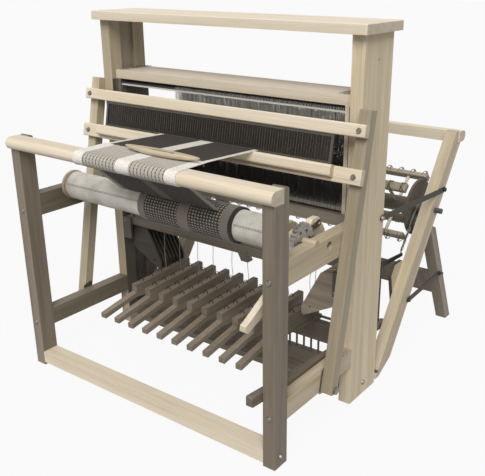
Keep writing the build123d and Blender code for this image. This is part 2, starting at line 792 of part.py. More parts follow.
# Woven cloth over the breast beam, back to the fell and down to the roll
beam_top = beam_bottom + beam_height
cloth_low = beam_top + face_gap
nose_middle = (nose - beam_overhang, beam_middle)
wrap_inner = nose + face_gap
wrap_outer = wrap_inner + cloth_thickness
roll_reach = roll_radius + face_gap + 0.2
roll_lean = radians(38)
roll_top = (beam_axis_depth - roll_reach * sin(roll_lean), beam_axis_height + roll_reach * cos(roll_lean))
with BuildPart() as woven_cloth:
    with BuildSketch(side_plane(cloth_left)):
        with BuildLine():
            Line((fell_depth, cloth_low), (nose_middle[0], cloth_low))
            ThreePointArc((nose_middle[0], cloth_low), (nose_middle[0] - wrap_inner, beam_middle),
                          (nose_middle[0], beam_bottom - face_gap))
            Polyline((nose_middle[0], beam_bottom - face_gap), (beam_back, beam_bottom - face_gap), roll_top,
                     (roll_top[0] - cloth_thickness, roll_top[1] + 1),
                     (beam_back - cloth_thickness, beam_bottom - face_gap - cloth_thickness),
                     (nose_middle[0], beam_bottom - face_gap - cloth_thickness))
            ThreePointArc((nose_middle[0], beam_bottom - face_gap - cloth_thickness),
                          (nose_middle[0] - wrap_outer, beam_middle),
                          (nose_middle[0], cloth_low + cloth_thickness))
            Line((nose_middle[0], cloth_low + cloth_thickness), (fell_depth, cloth_low + cloth_thickness))
            Line((fell_depth, cloth_low + cloth_thickness), (fell_depth, cloth_low))
        make_face()
    extrude(amount=cloth_right - cloth_left)
save(woven_cloth.part, "woven_cloth")

# Boat shuttle lying on the cloth, with its open quill well
shuttle_base = cloth_low + cloth_thickness
side_radius = (shuttle_length ** 2 / 4 + shuttle_width ** 2 / 4) / shuttle_width
side_offset = side_radius - shuttle_width / 2
with BuildPart() as shuttle:
    with BuildSketch(level_plane(shuttle_base)):
        with Locations((shuttle_middle_x, shuttle_depth + side_offset)):
            Circle(side_radius)
        with Locations((shuttle_middle_x, shuttle_depth - side_offset)):
            Circle(side_radius, mode=Mode.INTERSECT)
    extrude(amount=shuttle_height, taper=8)
    with BuildSketch(level_plane(shuttle_base + shuttle_height)):
        with Locations((shuttle_middle_x, shuttle_depth)):
            SlotOverall(shuttle_length * 0.34, shuttle_width * 0.5)
    extrude(amount=-shuttle_height * 0.75, mode=Mode.SUBTRACT)
save(shuttle.part, "shuttle")

# Rear legs' line: they hang behind the posts on a pin in each rounded head
leg_head = (post_back(rear_hinge_height) + 2, rear_hinge_height)
leg_run = (rear_foot_depth - leg_head[0], -rear_hinge_height)
leg_length = hypot(*leg_run)
leg_unit = (leg_run[0] / leg_length, leg_run[1] / leg_length)
leg_square = (-leg_unit[1], leg_unit[0])


def on_leg(along, across):
    """Point of the side view measured down the rear leg and square to its front edge."""
    return (leg_head[0] + along * leg_unit[0] + across * leg_square[0],
            leg_head[1] + along * leg_unit[1] + across * leg_square[1])


leg_foot_width = rear_leg_thickness / leg_square[0]
rear_hinge = on_leg(rear_leg_thickness / 2, rear_leg_thickness / 2)
hinge_screws = (post_front(rear_hinge[1]) + 30, post_front(rear_hinge[1]) + 58)
strap_hole = strap_bolt_radius + pin_gap

# Posts of the back frame
with BuildPart() as back_posts:
    notch_edge = post_front(post_top) + post_notch_depth
    add_profile((inner_half, outer_half), (
        (post_front(post_foot), post_foot), (post_front(post_foot) + foot_width, post_foot),
        (post_back(foot_chamfer), foot_chamfer), (post_back(back_beam_bottom), back_beam_bottom),
        (notch_edge, back_beam_bottom), (notch_edge, post_top), (post_front(post_top), post_top)))
    add_pin((inner_half, outer_half), fold_pivot, pivot_bolt_radius + pin_gap, Mode.SUBTRACT)
    add_pin((inner_half, outer_half), (warp_axis_depth, warp_axis_height), warp_axle_radius + pin_gap,
            Mode.SUBTRACT)
    drill(side_plane(outer_half), upper_strap_back, strap_hole, strap_screw_depth)
    for depth in hinge_screws:
        add_pin((inner_half, inner_half + strap_screw_depth + pin_gap), (depth, rear_hinge[1]), strap_hole,
                Mode.SUBTRACT)
    mirror(about=Plane.YZ)

# Stop block on the right post's inner face
with BuildPart() as stop_block:
    add_profile((inner_half - stop_block_thickness, inner_half), stop_block_outline)
save(Compound(list(back_posts.part.solids()) + list(stop_block.part.solids())), "back_posts")

# Back beam with its rounded nose to the back
back_nose = back_beam_height / 2
back_top = back_beam_bottom + back_beam_height
with BuildPart() as back_beam:
    with BuildSketch(side_plane(-back_beam_half)):
        with BuildLine():
            Line((notch_edge, back_top), (notch_edge, back_beam_bottom))
            Line((notch_edge, back_beam_bottom), (back_beam_back - back_nose, back_beam_bottom))
            ThreePointArc((back_beam_back - back_nose, back_beam_bottom),
                          (back_beam_back, back_beam_bottom + back_nose),
                          (back_beam_back - back_nose, back_top))
            Line((back_beam_back - back_nose, back_top), (notch_edge, back_top))
        make_face()
    extrude(amount=2 * back_beam_half)
save(back_beam.part, "back_beam")

# Rear legs with the board between them
rear_board_end = rear_board_start + rear_board_width
with BuildPart() as rear_legs:
    add_profile((inner_half, outer_half), (
        on_leg(rear_leg_thickness / 2, 0), (rear_foot_depth, 0), (rear_foot_depth + leg_foot_width, 0),
        on_leg(rear_leg_thickness / 2, rear_leg_thickness)))
    add_pin((inner_half, outer_half), rear_hinge, rear_leg_thickness / 2)
    add_pin((inner_half, outer_half), rear_hinge, strap_hole, Mode.SUBTRACT)
    mirror(about=Plane.YZ)
    add_profile((-inner_half, inner_half), (
        on_leg(rear_board_start, rear_board_inset), on_leg(rear_board_end, rear_board_inset),
        on_leg(rear_board_end, rear_board_inset + rear_board_thickness),
        on_leg(rear_board_start, rear_board_inset + rear_board_thickness)))
save(rear_legs.part, "rear_legs")


def add_strap(start, end, x_inner):
    """A flat steel strap with round ends between two bolt centres."""
    run = (end[0] - start[0], end[1] - start[1])
    middle = ((start[0] + end[0]) / 2, (start[1] + end[1]) / 2)
    with BuildSketch(side_plane(x_inner)) as section:
        with Locations(Location((middle[0], middle[1], 0), (0, 0, degrees(atan(run[1] / run[0]))))):
            SlotCenterToCenter(hypot(*run), strap_width)
    extrude(section.sketch, amount=strap_thickness)


strap_outer = strap_inner + strap_thickness
cap_inner = strap_outer + face_gap
with BuildPart() as lower_straps:
    add_strap(lower_strap_front, lower_strap_back, strap_inner)
    add_pin((strap_inner - 1, strap_inner), lower_strap_front, 8)
    for centre in (lower_strap_front, lower_strap_back):
        add_pin((strap_outer, strap_outer + 6), centre, 7)
    add_profile((strap_outer + 6, strap_outer + 11), (
        (lower_strap_back[0] - 14, lower_strap_back[1] + 12), (lower_strap_back[0] - 4, lower_strap_back[1]),
        (lower_strap_back[0] + 14, lower_strap_back[1] - 8), (lower_strap_back[0] + 16, lower_strap_back[1]),
        (lower_strap_back[0] + 4, lower_strap_back[1] + 8)))
    add_profile(plate_span, (
        (hinge_screws[0] - 12, rear_hinge[1] - 14), (rear_hinge[0] + 14, rear_hinge[1] - 14),
        (rear_hinge[0] + 14, rear_hinge[1] + 14), (hinge_screws[0] - 12, rear_hinge[1] + 14)), 6)
    add_pin((plate_span[0] - 4, outer_half), rear_hinge, strap_bolt_radius)
    for depth in hinge_screws:
        add_pin((plate_span[1], inner_half + strap_screw_depth), (depth, rear_hinge[1]), strap_bolt_radius)
    add_pin((outer_half - strap_screw_depth, cap_inner), upper_strap_back, strap_bolt_radius)
    add_pin((cap_inner, cap_inner + 6), upper_strap_back, 8)
    mirror(about=Plane.YZ)
save(lower_straps.part, "lower_straps")

# Upper straps, hooked over the castle's bolts and pivoted on the posts
hook = strap_bolt_radius + 0.5
hook_low = upper_strap_front[1] - 30
hook_mouth = 26
with BuildPart() as upper_straps:
    add_strap(upper_strap_front, upper_strap_back, strap_inner)
    add_pin((strap_inner, strap_outer), upper_strap_front, hook, Mode.SUBTRACT)
    add_profile((strap_inner, strap_outer), (
        (upper_strap_front[0] - hook, upper_strap_front[1]), (upper_strap_front[0] - hook, hook_low),
        (upper_strap_front[0] + hook_mouth, hook_low), (upper_strap_front[0] + hook, upper_strap_front[1])),
        mode=Mode.SUBTRACT)
    add_pin((strap_inner, strap_outer), upper_strap_back, strap_hole, Mode.SUBTRACT)
    mirror(about=Plane.YZ)
save(upper_straps.part, "upper_straps")

# Sectional warp beam: core on its axle, dowel spokes and four slats, with the brake's flange and hub
warp_axis = (warp_axis_depth, warp_axis_height)
slat_mid = slat_radius - slat_thickness / 2 - slat_inset
disc_span = (flange_disc_inner, flange_disc_inner + flange_disc_thickness)
quarter_turns = (45, 135, 225, 315)
with BuildPart() as warp_axle:
    add_pin((-warp_axle_half, warp_axle_half), warp_axis, warp_axle_radius)
with BuildPart() as warp_core_log:
    add_pin((-warp_half, warp_half), warp_axis, warp_core)
    add_pin((-warp_half, warp_half), warp_axis, warp_axle_radius, Mode.SUBTRACT)
with BuildPart() as warp_disc:
    add_pin(disc_span, warp_axis, flange_disc_radius)
    add_pin(disc_span, warp_axis, hub_radius, Mode.SUBTRACT)
with BuildPart() as warp_hub:
    add_pin((warp_half, hub_outer), warp_axis, hub_radius)
    add_pin((warp_half, hub_outer), warp_axis, warp_axle_radius, Mode.SUBTRACT)
with BuildPart() as warp_spokes:
    for turn in quarter_turns:
        toward = (cos(radians(turn)), sin(radians(turn)))
        start = (front_y + warp_axis_depth + warp_core * toward[0],
                 warp_axis_height + warp_core * toward[1])
        for row in range(spoke_rows):
            x = -warp_half + (row + 0.5) * 2 * warp_half / spoke_rows
            with BuildSketch(Plane(origin=(x, *start), x_dir=(1, 0, 0), z_dir=(0, *toward))):
                Circle(spoke_radius)
            extrude(amount=slat_mid - warp_core)
with BuildPart() as warp_slats:
    for turn in quarter_turns:
        centre = (warp_axis_depth + slat_mid * cos(radians(turn)),
                  warp_axis_height + slat_mid * sin(radians(turn)))
        with BuildSketch(side_plane(-warp_half)):
            with Locations(Location((centre[0], centre[1], 0), (0, 0, turn))):
                RectangleRounded(slat_thickness, slat_width, slat_rounding)
        extrude(amount=2 * warp_half)
    add(warp_spokes.part, mode=Mode.SUBTRACT)
warp_pieces = (warp_axle, warp_core_log, warp_disc, warp_hub, warp_spokes, warp_slats)
save(Compound([solid for piece in warp_pieces for solid in piece.part.solids()]), "warp_beam")

# Brake band on the hub, with its turnbuckle down to the lever
band_radius = hub_radius + face_gap
band_span = (band_inner, band_inner + band_width)
chain_unit = (cos(radians(chain_angle)), sin(radians(chain_angle)))
chain_square = (-chain_unit[1], chain_unit[0])
tangent_side = band_radius + band_thickness / 2
chain_start = (warp_axis_depth + tangent_side * chain_square[0],
               warp_axis_height + tangent_side * chain_square[1])
with BuildPart() as brake_band:
    add_pin(band_span, warp_axis, band_radius + band_thickness)
    add_pin(band_span, warp_axis, band_radius, Mode.SUBTRACT)
    chain_mid_x = (band_span[0] + band_span[1]) / 2
    for start, end, width, thickness in chain_segments:
        corners = []
        for along, across in ((start, -width / 2), (end, -width / 2), (end, width / 2), (start, width / 2)):
            corners.append((chain_start[0] - along * chain_unit[0] + across * chain_square[0],
                            chain_start[1] - along * chain_unit[1] + across * chain_square[1]))
        add_profile((chain_mid_x - thickness / 2, chain_mid_x + thickness / 2), corners)
save(brake_band.part, "brake_band")

# Brake lever with the rod that the pedal lifts
lever_x = (brake_lever_inner, brake_lever_inner + brake_lever_thickness)
rod_x = lever_x[1] + face_gap + brake_rod_radius
rod_foot = pedal_top_front - pedal_slope * (brake_rod_joint[0] - pedal_front) + face_gap + 0.2
with BuildPart() as brake_lever:
    add_profile(lever_x, (
        (brake_pivot[0] - 12, brake_pivot[1] + 9), (brake_rod_joint[0], brake_rod_joint[1] + 8),
        (brake_lever_end[0], brake_lever_end[1] + 7), (brake_lever_end[0], brake_lever_end[1] - 5),
        (brake_rod_joint[0], brake_rod_joint[1] - 10), (brake_pivot[0] - 12, brake_pivot[1] - 9)))
    with BuildSketch(level_plane(rod_foot)):
        with Locations((rod_x, brake_rod_joint[0])):
            Circle(brake_rod_radius)
    extrude(amount=brake_rod_joint[1] - rod_foot)
    add_pin((lever_x[0] - 1, rod_x), brake_rod_joint, 6)
    add_pin((lever_x[1], inner_half), brake_pivot, bolt_radius + 1)
save(brake_lever.part, "brake_lever")

# Brake pedal along the right side
pedal_back_top = pedal_top_front - pedal_slope * (pedal_back - pedal_front)
with BuildPart() as brake_pedal:
    with BuildSketch(side_plane(pedal_span[0])) as pedal_face:
        with BuildLine():
            Polyline((pedal_front, pedal_top_front), (pedal_back, pedal_back_top),
                     (pedal_back, pedal_back_top - pedal_height + 8),
                     (pedal_front, pedal_top_front - pedal_height), close=True)
        make_face()
        fillet(pedal_face.vertices(), 4)
        with Locations(pedal_pivot):
            Circle(hole_radius, mode=Mode.SUBTRACT)
    extrude(amount=pedal_thickness)
save(brake_pedal.part, "brake_pedal")

# Warp over the back beam and down to the sectional beam
warp_clear = slat_radius + 5
warp_leave = radians(-8)
warp_low = (warp_axis_depth + warp_clear * cos(warp_leave),
            warp_axis_height + warp_clear * sin(warp_leave))
back_nose_middle = (back_beam_back - back_nose, back_beam_bottom + back_nose)
warp_inner = back_nose + face_gap
warp_outer = warp_inner + cloth_thickness
warp_run = (back_nose_middle[0] - warp_low[0], back_nose_middle[1] - warp_low[1])
warp_touch = atan2(warp_run[1], warp_run[0]) - asin(warp_inner / hypot(*warp_run)) - pi / 2


def on_back_nose(radius, angle):
    """Point of the side view at a radius and angle about the back beam's nose."""
    return (back_nose_middle[0] + radius * cos(angle), back_nose_middle[1] + radius * sin(angle))


with BuildPart() as warp_threads:
    with BuildSketch(side_plane(cloth_left)):
        with BuildLine():
            half_way = (pi / 2 + warp_touch) / 2
            Line((notch_edge, back_nose_middle[1] + warp_inner), on_back_nose(warp_inner, pi / 2))
            ThreePointArc(on_back_nose(warp_inner, pi / 2), on_back_nose(warp_inner, half_way),
                          on_back_nose(warp_inner, warp_touch))
            Polyline(on_back_nose(warp_inner, warp_touch), warp_low,
                     (warp_low[0] + cloth_thickness * cos(warp_touch),
                      warp_low[1] + cloth_thickness * sin(warp_touch)),
                     on_back_nose(warp_outer, warp_touch))
            ThreePointArc(on_back_nose(warp_outer, warp_touch), on_back_nose(warp_outer, half_way),
                          on_back_nose(warp_outer, pi / 2))
            Polyline(on_back_nose(warp_outer, pi / 2), (notch_edge, back_nose_middle[1] + warp_outer),
                     (notch_edge, back_nose_middle[1] + warp_inner))
        make_face()
    extrude(amount=cloth_right - cloth_left)
save(warp_threads.part, "warp_threads")

# Tie-up cords from the lamms to the treadles
cord_radius = 1
cord_ties = (1, 2, 3, 4, 5, 6, 7, 8, 2, 4, 6, 8)
cord_treadles = (0, 1, 2, 3, 4, 5, 6, 7, 8, 8, 9, 9)
treadle_back_top = treadle_pivot_height + treadle_boss
treadle_fall = (treadle_step_high - treadle_back_top) / (treadle_pivot_depth - treadle_step)
with BuildPart() as tie_up_cords:
    for tie, tread in zip(cord_ties, cord_treadles):
        depth = harness_depth(tie - 1) - slice_offset + lamm_thickness / 2 + face_gap + cord_radius
        x = treadle_x(tread) + (4 if tie % 2 else -4)
        treadle_top = treadle_step_high - treadle_fall * (depth - treadle_step)
        foot = treadle_top + face_gap + 0.2
        top = lamm_bottom + lamm_height / 2
        stations = (top, top - 52, top - 104, top - 156, foot)
        sway = (0, 2, -3, 4, 0)
        route = [(x + offset, front_y + depth, height) for offset, height in zip(sway, stations)]
        radii = []
        for before, here, after in zip(route, route[1:], route[2:]):
            arrive = Vector(*here) - Vector(*before)
            leave = Vector(*after) - Vector(*here)
            turn = radians(arrive.get_angle(leave))
            radii.append(0.45 * min(arrive.length, leave.length) / tan(turn / 2))
        with BuildLine():
            path = FilletPolyline(*route, radius=radii)
        with BuildSketch(Plane(origin=path @ 0, z_dir=path % 0)):
            Circle(cord_radius)
        sweep(path=path)
save(tie_up_cords.part, "tie_up_cords")
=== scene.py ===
import math

import bpy
import numpy as np
from bpy.props import FloatProperty, FloatVectorProperty, IntProperty, PointerProperty
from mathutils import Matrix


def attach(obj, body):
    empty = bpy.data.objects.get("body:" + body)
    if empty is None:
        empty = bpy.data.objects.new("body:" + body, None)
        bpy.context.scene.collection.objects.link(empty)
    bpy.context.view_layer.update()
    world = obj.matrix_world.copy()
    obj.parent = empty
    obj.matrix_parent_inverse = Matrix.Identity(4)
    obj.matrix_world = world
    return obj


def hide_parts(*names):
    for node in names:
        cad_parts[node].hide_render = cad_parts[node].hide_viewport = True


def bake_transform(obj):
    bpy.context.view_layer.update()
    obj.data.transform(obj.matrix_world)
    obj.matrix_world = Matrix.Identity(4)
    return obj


bl_info = {
    "name": "Floor loom dressing",
    "version": (1, 0, 0),
    "blender": (4, 5, 0),
    "location": "View3D > Sidebar > Loom",
    "description": "Timber, steel, heddles, warp, cloth and cords for a folding floor loom",
    "category": "Object",
}

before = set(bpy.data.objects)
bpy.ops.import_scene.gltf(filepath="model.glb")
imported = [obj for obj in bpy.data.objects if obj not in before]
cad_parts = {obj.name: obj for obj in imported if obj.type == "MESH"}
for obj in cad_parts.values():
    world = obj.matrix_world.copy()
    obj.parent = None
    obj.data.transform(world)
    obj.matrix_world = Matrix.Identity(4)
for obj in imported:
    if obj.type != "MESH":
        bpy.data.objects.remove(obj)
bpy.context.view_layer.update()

# Real places, in metres. Depths run back from the front face of the front legs, FRONT in the frame.
FRONT = -0.6187
HARNESSES = 8
HARNESS_FIRST = 0.459
HARNESS_PITCH = 0.018
HARNESS_HALF = 0.4788
HEDDLE_BAR_LOW = 0.676
HEDDLE_BAR_HIGH = 0.984
HEDDLE_BAR_HALF = 0.0064
EYE_HEIGHT = 0.838
LAMM_HEIGHT = 0.450
TREADLES = 10
TREADLE_PITCH = 0.069
# Upper boards of the treadles: depths of both ends, and heights of the top and of the underside there
BOARD_ENDS = (0.2925, 0.590)
BOARD_TOPS = (0.2727, 0.2850)
BOARD_LOWS = (0.262, 0.212)
# The web's sides, the height of its underside and the depths of the fell and of the warp's last free point
CLOTH_LEFT = -0.207
CLOTH_RIGHT = 0.219
CLOTH_BASE = 0.8563
FELL = 0.116
WARP_FREE = 0.76
# Centres of round parts in the side view, as (place from front to back, height)
BEAM_AXIS = (FRONT + 0.205, 0.652)
NOSE = (FRONT + 0.0015, 0.8355)
NOSE_RADIUS = 0.0205
WARP_AXIS = (FRONT + 1.029, 0.535)
BACK_NOSE = (FRONT + 1.2375, 0.7805)
BACK_NOSE_RADIUS = 0.0219
BEATER_PIVOT = (FRONT + 0.265, 0.155)
BEATER_TILT = math.atan(0.2)
POST_TILT = math.atan(0.7)
REAR_LEG_TILT = 0.466


def linear(code):
    """Linear colour of an sRGB hex value: each channel c becomes ((c + 0.055) / 1.055) ** 2.4."""
    parts = [int(code[i:i + 2], 16) / 255 for i in (1, 3, 5)]
    return (*[c / 12.92 if c <= 0.04045 else ((c + 0.055) / 1.055) ** 2.4 for c in parts], 1.0)


def add(tree, kind, settings=None, **sockets):
    """A node with its settings and its inputs: a socket of another node is linked, a value is set."""
    made = tree.nodes.new(kind)
    for key, value in (settings or {}).items():
        setattr(made, key, value)
    for key, value in sockets.items():
        name = key.replace("_", " ")
        target = made.inputs[int(name[1:])] if name[0] == "i" and name[1:].isdigit() else made.inputs[name]
        if isinstance(value, bpy.types.NodeSocket):
            tree.links.new(value, target)
        else:
            target.default_value = value
    return made


def ramp(tree, factor, stops, interpolation="LINEAR"):
    """A colour ramp through stops of a place and a colour, which is a hex value or a linear one."""
    made = add(tree, "ShaderNodeValToRGB", None, Fac=factor)
    band = made.color_ramp
    band.interpolation = interpolation
    while len(band.elements) < len(stops):
        band.elements.new(1.0)
    for element, (where, colour) in zip(band.elements, stops):
        element.position = where
        element.color = linear(colour) if isinstance(colour, str) else colour
    return made.outputs["Color"]


def new_material(name):
    """An empty material with its shader and its tree."""
    material = bpy.data.materials.new(name)
    material.use_nodes = True
    tree = material.node_tree
    return material, tree, tree.nodes["Principled BSDF"]


def place(tree, sizes, tilt=0.0):
    """Object coordinates, turned about the width and divided by a pattern's real sizes."""
    here = add(tree, "ShaderNodeTexCoord").outputs["Object"]
    return add(tree, "ShaderNodeMapping", {"vector_type": "TEXTURE"}, Vector=here, Rotation=(tilt, 0, 0),
               Scale=sizes).outputs["Vector"]


def bump(tree, shader, height, depth):
    """Relief of a real depth in metres under a shader."""
    made = add(tree, "ShaderNodeBump", None, Height=height, Strength=0.6, Distance=depth)
    tree.links.new(made.outputs["Normal"], shader.inputs["Normal"])


def math_node(tree, operation, first, second=0.0, third=0.0):
    """One sum of two or three values."""
    return add(tree, "ShaderNodeMath", {"operation": operation}, i0=first, i1=second, i2=third).outputs[0]


def scaled(tree, colour, gain):
    """A colour made lighter or darker by a gain."""
    return add(tree, "ShaderNodeVectorMath", {"operation": "SCALE"}, i0=colour, Scale=gain).outputs["Vector"]


def inside(tree, value, low, high):
    """1 where a value lies between two limits, 0 elsewhere."""
    return math_node(tree, "COMPARE", value, (low + high) / 2, (high - low) / 2)


def both(tree, *tests):
    """1 where every test is 1."""
    result = tests[0]
    for test in tests[1:]:
        result = math_node(tree, "MULTIPLY", result, test)
    return result


def painted(tree, colour, mask, code):
    """A colour replaced by a hex one where a mask is 1."""
    return add(tree, "ShaderNodeMix", {"data_type": "RGBA"}, Factor=mask, i6=colour,
               i7=linear(code)).outputs[2]


def spot(tree):
    """Object coordinates as three separate values, and the distance from the warp beam's axis."""
    here = add(tree, "ShaderNodeTexCoord").outputs["Object"]
    xyz = add(tree, "ShaderNodeSeparateXYZ", None, Vector=here).outputs
    down = math_node(tree, "SUBTRACT", xyz["Y"], WARP_AXIS[0])
    rise = math_node(tree, "SUBTRACT", xyz["Z"], WARP_AXIS[1])
    square = math_node(tree, "MULTIPLY_ADD", down, down, math_node(tree, "MULTIPLY", rise, rise))
    return xyz["X"], xyz["Y"], xyz["Z"], math_node(tree, "SQRT", square)


def castle_zones(tree, colour):
    """Guide panels painted dark as shade below 0.95 m and paler above, with the ribs and cleats beside them
    painted dark as shade.
    """
    panel_sides, panel_depths, panel_pale_from = (0.4932, 0.5148), (0.4878, 0.5522), 0.95
    inner_sides, inner_heights = (0.46, 0.5046), (0.06, 1.0)
    x, y, z, _ = spot(tree)
    side = math_node(tree, "ABSOLUTE", x)
    deep = inside(tree, y, *[FRONT + depth for depth in panel_depths])
    panel = both(tree, inside(tree, side, *panel_sides), deep)
    inner = both(tree, inside(tree, side, *inner_sides), inside(tree, z, *inner_heights))
    high = math_node(tree, "GREATER_THAN", z, panel_pale_from)
    # Painted shade: the ribs and cleats and the guide panels take dark colours, the panels above 0.95 m a paler
    # one
    colour = painted(tree, painted(tree, colour, inner, "#5B554C"), panel, "#4E4942")
    return painted(tree, colour, both(tree, panel, high), "#9A9080")


def harness_zones(tree, colour):
    """Low bars and left side bars are painted darker as shade than the top bar; the heddle bars are steel, the
    top one's upper half painted dark as the shadow under the top bar.
    """
    low_bar, side_bar = (0.61, 0.6646), (0.6582, 1.0016)
    low_bar_shade, left_side_shade, shadow_edge = -0.62, -0.75, 0.0002
    x, _, z, _ = spot(tree)
    low = inside(tree, z, *low_bar)
    left = both(tree, inside(tree, z, *side_bar), math_node(tree, "LESS_THAN", x, 0.0))
    # Painted shade: the low bars and the left side bars are darkened
    colour = scaled(tree, colour, math_node(tree, "MULTIPLY_ADD", low, low_bar_shade, 1.0))
    colour = scaled(tree, colour, math_node(tree, "MULTIPLY_ADD", left, left_side_shade, 1.0))
    within = math_node(tree, "LESS_THAN", math_node(tree, "ABSOLUTE", x), HARNESS_HALF)
    foot = HEDDLE_BAR_HIGH - HEDDLE_BAR_HALF
    # Painted shadow: the top heddle bar is dark in its upper half and light steel below; the low heddle bar is
    # grey steel
    for bottom, top, code in ((foot, HEDDLE_BAR_HIGH + HEDDLE_BAR_HALF, "#3B3835"),
                              (foot, HEDDLE_BAR_HIGH - shadow_edge, "#CFCBC2"),
                              (HEDDLE_BAR_LOW - HEDDLE_BAR_HALF, HEDDLE_BAR_LOW + HEDDLE_BAR_HALF, "#8E8A83")):
        colour = painted(tree, colour, both(tree, within, inside(tree, z, bottom, top)), code)
    return colour


def warp_beam_zones(tree, colour):
    """Dark core, flange and hub, pale dowels, and the dark steel of the axle's ends."""
    axis, core, dowel, slat, flange, axle = 0.0, 0.0305, 0.031, 0.119, 0.112, 0.0103
    middle, end, face, hub, tip = 0.0, 0.47, 0.4701, 0.52, 0.6
    x, _, _, reach = spot(tree)
    wide = math_node(tree, "ABSOLUTE", x)
    for near, far, value, start, stop, code in (
            (dowel, slat, wide, middle, end, "#D8CCB8"), (axis, core, wide, middle, end, "#6E6455"),
            (axis, flange, x, face, hub, "#5E564B"), (axis, axle, wide, face, tip, "#4A4846")):
        mask = both(tree, inside(tree, reach, near, far), inside(tree, value, start, stop))
        colour = painted(tree, colour, mask, code)
    return colour


def post_zones(tree, colour):
    """The stop block on the inner face of the right post is painted dark as shade."""
    block = (0.480, 0.5037)
    # Painted shade on the stop block
    return painted(tree, colour, inside(tree, spot(tree)[0], *block), "#4B463F")


def maple(name, grain, tones, tilt=0.0, sides=None, zones=None):
    """Oiled hard maple, planed and sanded: fine streaks along the board, broad pale and tan bands.

    The eye sees straight close grain with small dark flecks under a low satin sheen, and darker end grain.
    Streaks are 3 mm across and 160 mm long, bands 34 mm across and 900 mm long.
    """
    material, tree, shader = new_material(name)
    end_grain, end_loss = 0.93, -0.22
    streak = [0.16 if axis == grain else 0.003 for axis in "XYZ"]
    band = [0.9 if axis == grain else 0.034 for axis in "XYZ"]
    fine = add(tree, "ShaderNodeTexNoise", None, Vector=place(tree, streak, tilt), Scale=1.0, Detail=4.0,
               Roughness=0.6).outputs["Fac"]
    broad = add(tree, "ShaderNodeTexNoise", None, Vector=place(tree, band, tilt), Scale=1.0, Detail=2.0,
                Distortion=0.4).outputs["Fac"]
    mixed = math_node(tree, "MULTIPLY_ADD", fine, 0.55, math_node(tree, "MULTIPLY", broad, 0.55))
    colour = ramp(tree, mixed, ((0.28, tones[2]), (0.5, tones[1]), (0.72, tones[0])))
    # Painted light and shade: the first gain darkens or lightens the board left of the middle, the second the
    # one right of it
    if sides:
        gain = add(tree, "ShaderNodeMapRange", None, Value=spot(tree)[0], From_Min=-0.01, From_Max=0.01,
                   To_Min=sides[0], To_Max=sides[1]).outputs["Result"]
        colour = scaled(tree, colour, gain)
    if zones:
        colour = zones(tree, colour)
    ends = add(tree, "ShaderNodeSeparateXYZ", None, Vector=add(tree, "ShaderNodeTexCoord").outputs["Normal"])
    facing = math_node(tree, "GREATER_THAN", math_node(tree, "ABSOLUTE", ends.outputs[grain]), end_grain)
    colour = scaled(tree, colour, math_node(tree, "MULTIPLY_ADD", facing, end_loss, 1.0))
    tree.links.new(colour, shader.inputs["Base Color"])
    rough = add(tree, "ShaderNodeMapRange", None, Value=fine, To_Min=0.42, To_Max=0.58).outputs["Result"]
    tree.links.new(rough, shader.inputs["Roughness"])
    shader.inputs["Specular IOR Level"].default_value = 0.35
    bump(tree, shader, fine, 0.00012)
    return material


def steel(name, code, roughness, rust="#6E655C"):
    """Zinc-plated or blackened mild steel: a grey metal with dull patches 6 mm wide."""
    material, tree, shader = new_material(name)
    patch = add(tree, "ShaderNodeTexNoise", None, Vector=place(tree, (0.006, 0.006, 0.006)), Scale=1.0,
                Detail=3.0).outputs["Fac"]
    tree.links.new(ramp(tree, patch, ((0.35, code), (0.75, rust))), shader.inputs["Base Color"])
    rough = add(tree, "ShaderNodeMapRange", None, Value=patch, To_Min=roughness, To_Max=roughness + 0.2)
    tree.links.new(rough.outputs["Result"], shader.inputs["Roughness"])
    shader.inputs["Metallic"].default_value = 1.0
    bump(tree, shader, patch, 0.00005)
    return material


def canvas():
    """Plain-woven cotton canvas: white threads 1.5 mm apart, drawn coarse enough to show, soiled in patches.

    A wave texture repeats every pi / 10 divided by its scale, so a scale of 210 a metre gives the 1.5 mm.
    """
    material, tree, shader = new_material("cotton_canvas")
    flat = add(tree, "ShaderNodeUVMap", {"uv_map": "flat"}).outputs["UV"]
    close = add(tree, "ShaderNodeMapping", None, Vector=flat, Scale=(100, 100, 1)).outputs["Vector"]
    waves = [add(tree, "ShaderNodeTexWave", {"bands_direction": direction}, Vector=close, Scale=2.1,
                 Distortion=0.3).outputs["Fac"] for direction in ("X", "Y")]
    weave = math_node(tree, "MULTIPLY", *waves)
    soil = add(tree, "ShaderNodeTexNoise", None, Vector=place(tree, (0.05, 0.05, 0.05)), Scale=1.0,
               Detail=4.0).outputs["Fac"]
    tone = math_node(tree, "MULTIPLY_ADD", weave, 0.25, math_node(tree, "MULTIPLY", soil, 0.9))
    tree.links.new(ramp(tree, tone, ((0.2, "#B9B3A6"), (0.5, "#DDD8CC"), (0.75, "#F0ECE2"))),
                   shader.inputs["Base Color"])
    shader.inputs["Roughness"].default_value = 0.9
    bump(tree, shader, weave, 0.0003)
    return material


